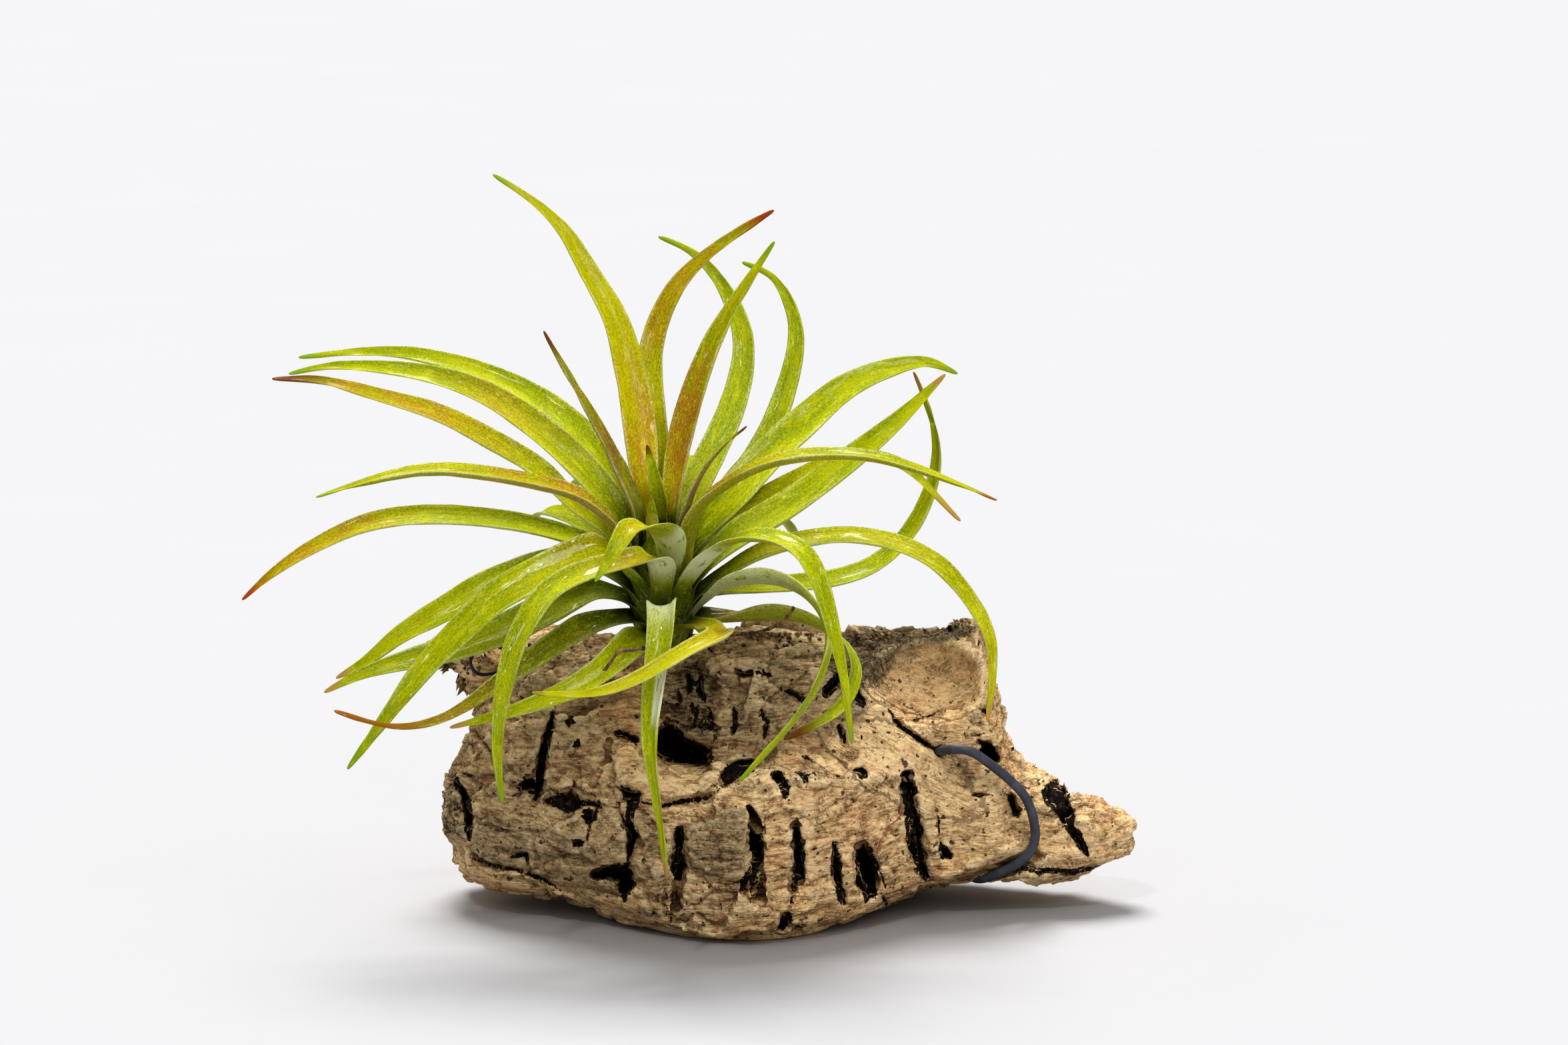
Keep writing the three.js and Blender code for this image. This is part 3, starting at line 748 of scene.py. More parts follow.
@dataclass(frozen=True)
class LeafSkin:
    """Tillandsia leaf: smooth flesh under a velvet of pale scales, so it is soft and satin.

    The flesh shows between the scales, the scales catch light as fine pale grains, fine veins
    run along the blade, and a sheet of water lies on parts of it. Pale glints on the water are
    painted highlights, and painted shade darkens the flesh towards the stem.
    """

    name: str
    flesh: str
    light_flesh: str
    deep_flesh: str
    silver: str = "#A4AE46"
    bloom: str = "#DEE2C0"
    orange: str = "#A66E0A"
    freckle: str = "#9A4A12"
    pink: str = "#B0825C"
    grains: str = "#CCCC10"
    # Painted highlight colour for glints on the water.
    painted_glint: str = "#F2F4D8"
    # Painted shade colour for the centre of the rosette, where the leaves crowd.
    heart_shade: str = "#262C0C"

    def material(self, tip: TipHue) -> Material:
        """Makes the leaf material with a chosen tip colour.

        Args:
            tip: The hue of the dry tip.

        Returns:
            The material.
        """
        layers = (
            Layer(self.light_flesh, ("light_clouds",)),
            # Painted shade: the flesh darkens towards the stem, over a faint random tone.
            Layer(self.deep_flesh, ("deep",), 0.85),
            Layer(self.deep_flesh, ("dark_streaks",), 0.3),
            Layer(self.deep_flesh, ("dark_veins",), 0.3),
            Layer(self.orange, ("orange", "blushed"), 0.95),
            Layer(self.freckle, ("orange", "freckled"), 0.7),
            Layer(self.grains, ("bright_mottles",), 0.4),
            Layer(self.grains, ("bright_scales",), 0.45),
            Layer(self.deep_flesh, ("dark_scales",), 0.5),
            Layer(self.silver, ("silver", "down"), 0.75),
            Layer(self.silver, ("silver", "worn_down"), 0.45),
            Layer(self.pink, ("pink", "blushed")),
            Layer(self.bloom, ("bloom", "powder"), 0.85),
            Layer(self.bloom, ("bloom", "down"), 0.4),
            Layer(self.bloom, ("rim", "down"), 0.5),
            # Painted shade at the centre of the rosette.
            Layer(self.heart_shade, ("heart_shade",), 0.85),
            Layer(tip.value, ("dry",)),
            # Painted highlights: pale glints in ripples and beads on the water.
            Layer(self.painted_glint, ("water", "glint_ripples"), 0.6),
            Layer(self.painted_glint, ("water", "glint_beads"), 0.85),
        )
        return Finish(
            name=f"{self.name}_{tip.name.lower()}_tip",
            base=self.flesh,
            steps=LEAF_FIELDS,
            layers=layers,
            relief={"veins": 0.8, "scales": 0.6, "streaks": 0.6, "ripples": 0.3},
            relief_depth=0.14,
            relief_strength=0.45,
            marks={
                "marks": ("silver", "orange", "pink"),
                "tint": ("dry", "wet", "deep"),
                "touch": ("bloom", "rim", "heart_shade"),
            },
            vectors=("blade",),
            linked={"Coat Weight": "water"},
            values={
                "Roughness": 0.46,
                "IOR": 1.42,
                "Specular IOR Level": 0.07,
                "Coat Roughness": 0.08,
                "Coat IOR": 1.33,
                "Subsurface Weight": 0.18,
                "Subsurface Radius": (0.6, 1.0, 0.15),
                "Subsurface Scale": 0.6 * MM,
            },
        ).material()


@dataclass(frozen=True)
class StemAxis:
    """The line that the leaves stand on, and how thick the stem is along it.

    Each row of the profile is a share of the stem's length and of its widest radius.
    """

    foot: Triple = (-13.0, 5.5, 49.5)
    top: Triple = (-14.0, -8.0, 76.0)
    widest: float = 5.5
    profile: tuple[Pair, ...] = (
        (0.0, 0.7), (0.06, 1.0), (0.45, 1.0), (0.75, 0.72), (0.9, 0.45), (0.97, 0.28)
    )

    def frame(self, point: Array) -> tuple[Array, Array, Array, float]:
        """Places a leaf's base on the stem.

        Args:
            point: The middle of the leaf's base.

        Returns:
            The stem's direction, the leaf's outward direction, the sideways direction and the
            base's height along the stem.
        """
        foot = np.array(self.foot)
        axis = np.array(self.top) - foot
        axis /= np.linalg.norm(axis)
        height = float((point - foot) @ axis)
        outward = point - foot - height * axis
        outward /= np.linalg.norm(outward)
        return axis, outward, np.cross(axis, outward), height

    def radius(self, height: float) -> float:
        """Gives the stem's radius at a height along it."""
        shares, sizes = zip(*self.profile)
        length = np.linalg.norm(np.array(self.top) - np.array(self.foot))
        return self.widest * float(np.interp(height / length, shares, sizes))

    def arc(
        self, point: Array, drop: float, proud: float, spread: float, across: Sequence[float]
    ) -> list[Array]:
        """Lays points round the stem below a leaf's base.

        Args:
            point: The middle of the leaf's base.
            drop: How far below it the points lie.
            proud: How far outside the stem they lie.
            spread: The angle from the middle to either margin, in degrees.
            across: Each point's share of that angle.

        Returns:
            The points in millimetres.
        """
        axis, outward, side, height = self.frame(point)
        centre = np.array(self.foot) + (height - drop) * axis
        reach = self.radius(height - drop) + proud
        turns = [math.radians(spread) * share for share in across]
        return [centre + reach * (math.cos(t) * outward + math.sin(t) * side) for t in turns]


@dataclass
class BladeRings:
    """The rings of a leaf's solid, from its stem end to its tip.

    Each ring holds four points of the outer face and four of the inner one, both from one
    margin to the other.
    """

    points: Array
    rings: list[list[int]]
    tip: int

    ACROSS = (-1.0, -0.4, 0.4, 1.0)
    SHEATH = ((9.5, -0.6, 80.0), (6.5, 0.5, 74.0), (3.0, 1.2, 55.0))
    SHEATH_WALL = 0.6
    MARGIN = 0.5

    @classmethod
    def read(cls, piece: Object) -> BladeRings:
        """Finds the rings in a merged leaf mesh.

        Args:
            piece: The merged copy of a leaf's solid.

        Returns:
            The rings in order.
        """
        mesh = piece.data
        points = points_of(piece)
        near: list[set[int]] = [set() for _ in mesh.vertices]
        for edge in mesh.edges:
            first, second = edge.vertices
            near[first].add(second)
            near[second].add(first)
        tips = [v for v in range(len(near)) if len(near[v]) == 8]
        for tip in tips:
            levels = cls.levels_from(tip, near)
            if all(len(level) == 8 for level in levels):
                return cls(points, cls.ordered(levels, near, points), tip)
        raise ValueError(f"{piece.name} has no point with rings of eight")

    @staticmethod
    def levels_from(tip: int, near: list[set[int]]) -> list[set[int]]:
        """Gathers the points by their number of edges from the tip.

        Args:
            tip: The tip's point.
            near: Each point's neighbours.

        Returns:
            One set of points per ring, from the tip to the stem end.
        """
        seen = {tip}
        level = {tip}
        levels = []
        while True:
            level = set().union(*(near[v] for v in level)) - seen
            if not level:
                return levels
            seen |= level
            levels.append(level)

    @classmethod
    def ordered(cls, levels: list[set[int]], near: list[set[int]], points: Array) -> list[list[int]]:
        """Puts each ring's points in order: the outer face, then the inner face.

        Args:
            levels: The rings' points, from the tip to the stem end.
            near: Each point's neighbours.
            points: All points in millimetres.

        Returns:
            The ordered rings, from the stem end to the tip.
        """
        side = None
        placed: list[list[int]] = []
        flats: list[Array] = []
        for level in levels:
            members = sorted(level)
            rows = points[members]
            centred = rows - rows.mean(axis=0)
            axes = np.linalg.svd(centred)[2]
            axis, up = axes[0], axes[1]
            if side is not None and axis @ side < 0:
                axis = -axis
            side = axis
            if ((centred @ up) * (centred @ axis) ** 2).sum() < 0:
                up = -up
            flat = {v: (row @ axis, row @ up) for v, row in zip(members, centred)}
            if len(placed) < len(levels) - 1:
                ring = cls.by_loop(members, near, flat)
            else:
                ring = cls.by_nearest(members, flat, flats[-1])
            placed.append(ring)
            flats.append(np.array([flat[v] for v in ring]))
        return placed[::-1]

    @staticmethod
    def by_loop(members: list[int], near: list[set[int]], flat: dict) -> list[int]:
        """Orders a ring by walking round it.

        Args:
            members: The ring's points.
            near: Each point's neighbours.
            flat: Each point's place across and up in the ring's own plane.

        Returns:
            The ordered ring.
        """
        inside = set(members)
        loop = [members[0]]
        while len(loop) < 8:
            loop.append(next(v for v in sorted(near[loop[-1]] & inside) if v not in loop))
        centre = [
            (np.array(flat[loop[i]]) + np.array(flat[loop[(i + 1) % 8]])) / 2 for i in range(8)
        ]
        apart = [abs(centre[i][0] - centre[i + 4][0]) for i in range(4)]
        start = (int(np.argmax(apart)) + 1) % 8
        loop = loop[start:] + loop[:start]
        first, second = loop[:4], loop[4:][::-1]
        if flat[first[0]][0] > flat[first[3]][0]:
            first, second = first[::-1], second[::-1]
        middle = [(flat[row[1]][1] + flat[row[2]][1]) / 2 for row in (first, second)]
        return first + second if middle[0] < middle[1] else second + first

    @staticmethod
    def by_nearest(members: list[int], flat: dict, before: Array) -> list[int]:
        """Orders the ring at the stem end by the one next to it.

        Args:
            members: The ring's points.
            flat: Each point's place in the ring's own plane.
            before: The next ring's places, in order.

        Returns:
            The ordered ring.
        """
        pairs = sorted(
            (np.hypot(*(np.array(flat[v]) - place)), index, v)
            for index, place in enumerate(before)
            for v in members
        )
        ring: dict[int, int] = {}
        for _, index, v in pairs:
            if index not in ring and v not in ring.values():
                ring[index] = v
        return [ring[index] for index in range(8)]

    def clasp(self, stem: StemAxis) -> list[tuple[float, Array]]:
        """Carries the blade's stem end on as a sheath that clasps the stem.

        Args:
            stem: The stem.

        Returns:
            For each extra ring, from the lowest, its drop and its eight points.
        """
        base = self.points[self.rings[0]]
        middle = base.mean(axis=0)
        _, _, side, _ = stem.frame(middle)
        turned = 1.0 if (base[3] - base[0]) @ side > 0 else -1.0
        across = [turned * share for share in self.ACROSS]
        rings = []
        for drop, proud, spread in self.SHEATH:
            outer = stem.arc(middle, drop, proud, spread, across)
            inner = stem.arc(middle, drop, proud - self.SHEATH_WALL, spread, across)
            rings.append((drop, np.array(outer + inner)))
        return rings

    def slimmed(self, ring: list[int]) -> Array:
        """Draws a ring's two margins in to a thin edge.

        Args:
            ring: The ring's points.

        Returns:
            Their new places.
        """
        points = self.points[ring].copy()
        for outer, inner in ((0, 4), (3, 7)):
            half = (points[outer] - points[inner]) / 2
            middle = (points[outer] + points[inner]) / 2
            points[outer] = middle + self.MARGIN * half
            points[inner] = middle - self.MARGIN * half
        return points

    def quads(self, piece: Object, stem: StemAxis) -> None:
        """Rebuilds a piece's mesh from the rings, all in quads up to the tip's fan.

        The mesh gets a "place" attribute that holds the share across, the share along and 1 on
        the inner face. The share along is below 0 on the sheath.

        Args:
            piece: The object whose mesh is rebuilt.
            stem: The stem that the leaf clasps.
        """
        centres = np.array([self.points[ring].mean(axis=0) for ring in self.rings])
        steps = np.linalg.norm(np.diff(np.vstack([centres, self.points[self.tip]]), axis=0), axis=1)
        reach = list(np.concatenate([[0], np.cumsum(steps)]) / steps.sum())
        sheath = self.clasp(stem)
        reach = [-drop / steps.sum() for drop, _ in sheath] + reach
        stations = [ring for _, ring in sheath] + [self.slimmed(ring) for ring in self.rings]
        count = len(stations)
        made = bmesh.new()
        layer = made.verts.layers.float_vector.new("place")
        rows = []
        for share, ring in zip(reach, stations):
            row = []
            for j, point in enumerate(ring):
                vert = made.verts.new(point * MM)
                vert[layer] = Vector((self.ACROSS[j % 4], share, float(j >= 4)))
                row.append(vert)
            rows.append(row[:4] + row[4:][::-1])
        tip = made.verts.new(self.points[self.tip] * MM)
        tip[layer] = Vector((0, 1, 0.5))
        for ring in range(count - 1):
            for j in range(8):
                k = (j + 1) % 8
                made.faces.new((rows[ring][j], rows[ring][k], rows[ring + 1][k], rows[ring + 1][j]))
        for j in range(8):
            made.faces.new((rows[-1][j], rows[-1][(j + 1) % 8], tip))
        for j in range(3):
            made.faces.new((rows[0][j], rows[0][7 - j], rows[0][6 - j], rows[0][j + 1]))
        creases = made.edges.layers.float.new("crease_edge")
        margin = [row[j] for row in rows for j in (0, 3, 4, 7)]
        held = set(margin)
        for edge in made.edges:
            first, second = edge.verts
            if first in held and second in held and first[layer].y != second[layer].y:
                if first[layer].x == second[layer].x and first[layer].z == second[layer].z:
                    edge[creases] = 0.55
        bmesh.ops.recalc_face_normals(made, faces=made.faces)
        made.to_mesh(piece.data)
        made.free()


@dataclass
class Rosette:
    """The plant's leaves, each a copy of its solid made fine, with its own colouring."""

    looks: dict[str, LeafLook]
    skins: dict[str, LeafSkin]
    levels: int = 3
    wave: float = 0.14
    wave_length: float = 7.0

    def build(self, nodes: dict[str, Object], slots: dict[str, str]) -> None:
        """Makes every leaf.

        Args:
            nodes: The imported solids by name.
            slots: Each node's material slot.
        """
        names = sorted(name for name in nodes if name.startswith("leaf_"))
        for index, name in enumerate(names):
            look = self.looks.get(name, LeafLook())
            piece = merged_copy(nodes[name], f"{name}_blade")
            BladeRings.read(piece).quads(piece, StemAxis())
            apply_modifier(piece, "SUBSURF", levels=self.levels, render_levels=self.levels)
            self.mark(piece, look, index)
            material = self.skins[slots[name]].material(look.tip[0])
            finish_piece(piece, material, slots[name], name)

    def mark(self, piece: Object, look: LeafLook, seed: int) -> None:
        """Waves a blade slightly and writes what its material reads.

        Args:
            piece: The smooth blade.
            look: What its surface shows.
            seed: Makes this leaf's pattern its own.
        """
        points = points_of(piece)
        normals = normals_of(piece)
        flat = np.empty(len(points) * 3, np.float32)
        piece.data.attributes["place"].data.foreach_get("vector", flat)
        across, along, inner = flat.reshape(-1, 3).astype(float).T
        soft = noise(points, self.wave_length, seed) * np.abs(across) ** 1.5
        soft += 0.4 * noise(points, self.wave_length / 2.5, seed + 40)
        fade = smooth_step(1.0, 0.9, along)
        points = points + normals * (self.wave * soft * fade)[:, None]
        move_points(piece, points)

        length, width = self.spans(points, across, along)
        blade = np.stack([across * width / 2 + 13.7 * seed, along * length, 3 * inner], axis=1)
        write_vectors(piece, "blade", blade)

        sheath = smooth_step(0.02, -0.06, along)
        silver = (1 - inner) * look.under_silver * smooth_step(1.05, 0.5, along)
        base = smooth_step(look.base_silver + 0.1, look.base_silver - 0.1, along)
        silver = np.maximum(silver, 0.35 * base)
        silver = np.maximum(silver, look.inner_silver * inner * smooth_step(0.8, 0.35, along))
        silver = np.maximum(silver, 0.4 * sheath)
        silver *= 0.8 + 0.4 * noise(points, 5.0, seed + 7)
        blush = look.blush.share(along) * (0.3 + 0.7 * inner)
        pink = look.pink * (1 - 0.75 * inner) * smooth_step(0.9, 0.3, along)
        pink *= smooth_step(0.02, 0.2, along)
        write_marks(piece, "marks", (silver, blush, pink))

        share = look.tip[1]
        ragged = along + 0.1 * share * noise(points, 2.0, seed)
        dry = smooth_step(1 - 1.6 * share, 1 - 0.35 * share, ragged)
        # Painted shade towards the stem, over a faint random tone all along.
        deep = 0.9 * smooth_step(0.22, 0.02, along) + 0.1 + 0.1 * noise(points, 12.0, seed + 3)
        write_marks(piece, "tint", (dry, np.full(len(points), look.wet), deep))

        bloom = (1 - inner) * look.bloom.share(along) + inner * look.inner_bloom.share(along)
        rim = smooth_step(0.8, 1.0, np.abs(across)) * smooth_step(0.97, 0.7, along)
        rim *= 0.5 + 0.5 * noise(points, 3.0, seed + 9)
        # A painted highlight streak on one half of the blade, laid into the bloom marks.
        painted_highlight_streak = look.painted_highlight_streak.share(along) * smooth_step(-0.1, 0.2, across)
        bloom = np.maximum(bloom, painted_highlight_streak)
        # Painted shade at the centre of the rosette, stronger on the inner face.
        heart_shade = smooth_step(look.shade, 0.0, along) * (0.4 + 0.6 * inner)
        write_marks(piece, "touch", (bloom, rim, heart_shade))

    @staticmethod
    def spans(points: Array, across: Array, along: Array) -> Pair:
        """Measures a blade.

        Args:
            points: Its points in millimetres.
            across: Each point's share across.
            along: Each point's share along.

        Returns:
            Its length along the middle and its widest flat width.
        """
        stations = np.linspace(0, 1, 25)
        nearest = [points[np.argmin((along - s) ** 2 + 0.02 * across**2)] for s in stations]
        length = np.linalg.norm(np.diff(np.array(nearest), axis=0), axis=1).sum()
        left = points[np.argmin((along - 0.3) ** 2 + (across + 1) ** 2)]
        right = points[np.argmin((along - 0.3) ** 2 + (across - 1) ** 2)]
        return float(length), float(1.2 * np.linalg.norm(left - right))


LEAF_SKINS = {
    "leaf_green": LeafSkin("green_leaf", "#96A002", "#B6BA08", "#5A7004"),
    "leaf_yellow": LeafSkin("yellow_leaf", "#ACA604", "#C2BA0A", "#767A04"),
    "leaf_orange": LeafSkin("orange_leaf", "#9A9C04", "#B2AE0A", "#5E6A04"),
    "leaf_silver": LeafSkin("silver_leaf", "#8E9C0A", "#AEB414", "#54680C"),
    "leaf_brown": LeafSkin(
        "brown_leaf", "#7F8A14", "#96981E", "#525C14", orange="#8A5A22", pink="#937062"
    ),
}

LEAF_LOOKS = {
    "leaf_01": LeafLook((TipHue.STRAW, 0.05), wet=0.6, under_silver=0.3),
    "leaf_02": LeafLook((TipHue.BROWN, 0.12), Stretch(0.0, 0.4, 0.7), base_silver=0.3, inner_silver=0.4,
                        under_silver=0.8),
    "leaf_04": LeafLook((TipHue.STRAW, 0.06), under_silver=0.4),
    "leaf_05": LeafLook((TipHue.SOFT_BROWN, 0.3), Stretch(0.45, 0.95, 0.6), wet=0.5),
    "leaf_06": LeafLook((TipHue.GREEN, 0.05), bloom=Stretch(0.0, 0.35, 0.5), under_silver=0.75),
    "leaf_07": LeafLook((TipHue.STRAW, 0.04), inner_bloom=Stretch(0.06, 0.36, 0.9, 0.06), inner_silver=0.2,
                        base_silver=0.06, wet=0.8, painted_highlight_streak=Stretch(0.48, 0.62, 1.0, 0.03)),
    "leaf_08": LeafLook((TipHue.STRAW, 0.04), Stretch(0.85, 1.0, 0.3), wet=0.5),
    "leaf_10": LeafLook((TipHue.STRAW, 0.05), base_silver=0.1, inner_silver=0.2, wet=0.5),
    "leaf_12": LeafLook((TipHue.OLIVE, 0.03), Stretch(0.15, 0.5, 0.6), under_silver=0.2),
    "leaf_13": LeafLook((TipHue.STRAW, 0.04), inner_silver=0.2, base_silver=0.12, wet=0.5),
    "leaf_15": LeafLook((TipHue.STRAW, 0.05), inner_silver=0.1, wet=0.5),
    "leaf_16": LeafLook((TipHue.GREEN, 0.05), under_silver=0.5, inner_silver=0.15),
    "leaf_17": LeafLook((TipHue.GREEN, 0.04), bloom=Stretch(0.14, 0.3, 1.0, 0.05), under_silver=0.25,
                        wet=0.7),
    "leaf_18": LeafLook((TipHue.GREEN, 0.04), Stretch(0.22, 0.42, 0.6), bloom=Stretch(0.14, 0.3, 1.0, 0.05),
                        under_silver=0.25, wet=0.7),
    "leaf_19": LeafLook((TipHue.STRAW, 0.09)),
    "leaf_21": LeafLook((TipHue.BROWN, 0.12), Stretch(0.45, 1.0, 0.7)),
    "leaf_22": LeafLook((TipHue.GREEN, 0.05), Stretch(0.15, 0.35, 0.35), under_silver=0.25, wet=1.0),
    "leaf_23": LeafLook((TipHue.GREEN, 0.05)),
    "leaf_24": LeafLook((TipHue.SOFT_BROWN, 0.04), Stretch(0.05, 0.4, 0.8), pink=0.15, under_silver=0.3),
    "leaf_25": LeafLook((TipHue.GREEN, 0.04), Stretch(0.5, 0.75, 0.6), bloom=Stretch(0.15, 0.42, 1.0, 0.06),
                        under_silver=0.4, shade=0.1),
    "leaf_26": LeafLook((TipHue.GREEN, 0.04), wet=0.55),
    "leaf_27": LeafLook((TipHue.RED, 0.07), Stretch(0.6, 1.0, 0.8), wet=0.4),
    "leaf_28": LeafLook((TipHue.GREEN, 0.05), Stretch(0.35, 0.6, 0.4), under_silver=0.6, pink=0.35),
    "leaf_29": LeafLook((TipHue.GREEN, 0.05), inner_silver=0.25, under_silver=0.5),
    "leaf_30": LeafLook((TipHue.GREEN, 0.05), Stretch(0.05, 0.42, 0.75), under_silver=0.2, pink=0.02),
    "leaf_31": LeafLook((TipHue.GREEN, 0.05), Stretch(0.1, 0.5, 0.85), pink=0.5, under_silver=0.6),
    "leaf_32": LeafLook((TipHue.RED, 0.08), Stretch(0.5, 1.0, 0.75)),
    "leaf_33": LeafLook((TipHue.BROWN, 0.1), Stretch(0.3, 0.9, 0.8), pink=0.85, under_silver=0.5),
    "leaf_34": LeafLook((TipHue.GREEN, 0.05), Stretch(0.1, 0.55, 1.0), pink=0.4, under_silver=0.6),
    "leaf_35": LeafLook((TipHue.BROWN, 0.08), Stretch(0.3, 0.9, 0.7), pink=0.95, under_silver=0.6),
    "leaf_36": LeafLook((TipHue.BROWN, 0.08), pink=0.3, under_silver=0.3),
    "leaf_37": LeafLook((TipHue.OLIVE, 0.1), pink=0.4, under_silver=0.5),
}


# Bark


def line_distance(pixels: Array, start: Array, end: Array) -> tuple[Array, Array]:
    """Measures how far each pixel lies from a straight line between two points.

    Args:
        pixels: The places to test, one row each.
        start: The line's start.
        end: The line's end.

    Returns:
        The distance in pixels, and the share along the line of its place nearest to the pixel.
    """
    run = end - start
    along = np.clip((pixels - start) @ run / (run @ run), 0, 1)
    return np.linalg.norm(pixels - start - along[:, None] * run, axis=1), along


def turned(offset: Array, degrees: float) -> tuple[Array, Array]:
    """Measures places along and beside a direction in the photograph.

    Args:
        offset: The places, across and down, one row each.
        degrees: How far the direction is turned clockwise.

    Returns:
        How far each place lies along the direction, and beside it.
    """
    angle = math.radians(degrees)
    along = offset[:, 0] * math.cos(angle) + offset[:, 1] * math.sin(angle)
    return along, offset[:, 1] * math.cos(angle) - offset[:, 0] * math.sin(angle)


def outline_distance(pixels: Array, outline: Sequence[Pair]) -> Array:
    """Measures how far each pixel lies from a closed outline.

    Args:
        pixels: The places to test, one row each.
        outline: The outline's corners.

    Returns:
        The distance in pixels, positive inside.
    """
    corners = np.array(outline, float)
    nearest = np.full(len(pixels), np.inf)
    inside = np.zeros(len(pixels), bool)
    for start, end in zip(corners, np.roll(corners, -1, axis=0)):
        nearest = np.minimum(nearest, line_distance(pixels, start, end)[0])
        crosses = (start[1] > pixels[:, 1]) != (end[1] > pixels[:, 1])
        if start[1] != end[1]:
            run = end - start
            hit = start[0] + (pixels[:, 1] - start[1]) * run[0] / run[1]
            inside ^= crosses & (pixels[:, 0] < hit)
    return np.where(inside, nearest, -nearest)


@dataclass(frozen=True)
class Hollow:
    """A hole or slot in the bark's front: its outline in photograph pixels, its depth in mm."""

    corners: tuple[Pair, ...]
    depth: float
    edge: float = 1.6
    # How dark the hole's painted shade is, up to 1.
    dark: float = 1.0

    def near(self, pixels: Array) -> Array:
        """Marks the pixels that lie in or close round the shape.

        Args:
            pixels: The places to test, one row each.

        Returns:
            True for each place that the shape may reach.
        """
        margin = RAGGED_PIXELS + self.edge
        low = np.min(self.corners, axis=0) - margin
        high = np.max(self.corners, axis=0) + margin
        return np.all((pixels > low) & (pixels < high), axis=1)

    def share(self, pixels: Array, ragged: Array) -> Array:
        """Gives 1 well inside the shape and 0 outside, with its edge shifted by ragged pixels."""
        return smooth_step(-self.edge, self.edge, outline_distance(pixels, self.corners) + ragged)


@dataclass(frozen=True)
class Crack(Hollow):
    """A thin crack that runs from corner to corner and tapers to both of its ends."""

    width: float = 5.0

    def share(self, pixels: Array, ragged: Array) -> Array:
        """Says how deep in the crack each pixel lies, from 0 to 1.

        Args:
            pixels: The places to test, one row each.
            ragged: A small shift of each place's distance.

        Returns:
            One share per place.
        """
        ends = np.array(self.corners, float)
        steps = np.linalg.norm(np.diff(ends, axis=0), axis=1)
        reach = np.concatenate([[0], np.cumsum(steps)])
        best = np.full(len(pixels), np.inf)
        place = np.zeros(len(pixels))
        for index, (start, end) in enumerate(itertools.pairwise(ends)):
            gap, along = line_distance(pixels, start, end)
            place = np.where(gap < best, reach[index] + along * steps[index], place)
            best = np.minimum(best, gap)
        part = place / reach[-1]
        half = self.width * (0.15 + 0.6 * np.sqrt(4 * part * (1 - part)))
        return smooth_step(1.2, -1.2, best - half + 0.5 * ragged)


@dataclass(frozen=True)
class Zone(Hollow):
    """A region of the bark's front with its own tone: the depth is how strong it is, up to 1."""

    edge: float = 6.0

    def share(self, pixels: Array, ragged: Array) -> Array:
        """Says how strong the zone's tone is at each pixel."""
        return self.depth * super().share(pixels, 8 * ragged)


@dataclass(frozen=True)
class Patch:
    """An oval region of the bark's front, in photograph pixels, with a soft edge."""

    centre: Pair
    size: Pair
    amount: float = 1.0
    turn: float = 0.0

    def share(self, pixels: Array, ragged: Array) -> Array:
        """Says how far inside the region each pixel lies, from 0 to its amount.

        Args:
            pixels: The places to test, one row each.
            ragged: A small shift of each place's distance.

        Returns:
            One share per place.
        """
        along, beside = turned(pixels - np.array(self.centre), self.turn)
        reach = np.hypot(along / self.size[0], beside / self.size[1])
        return self.amount * smooth_step(1.2, 0.75, reach + 0.3 * ragged)


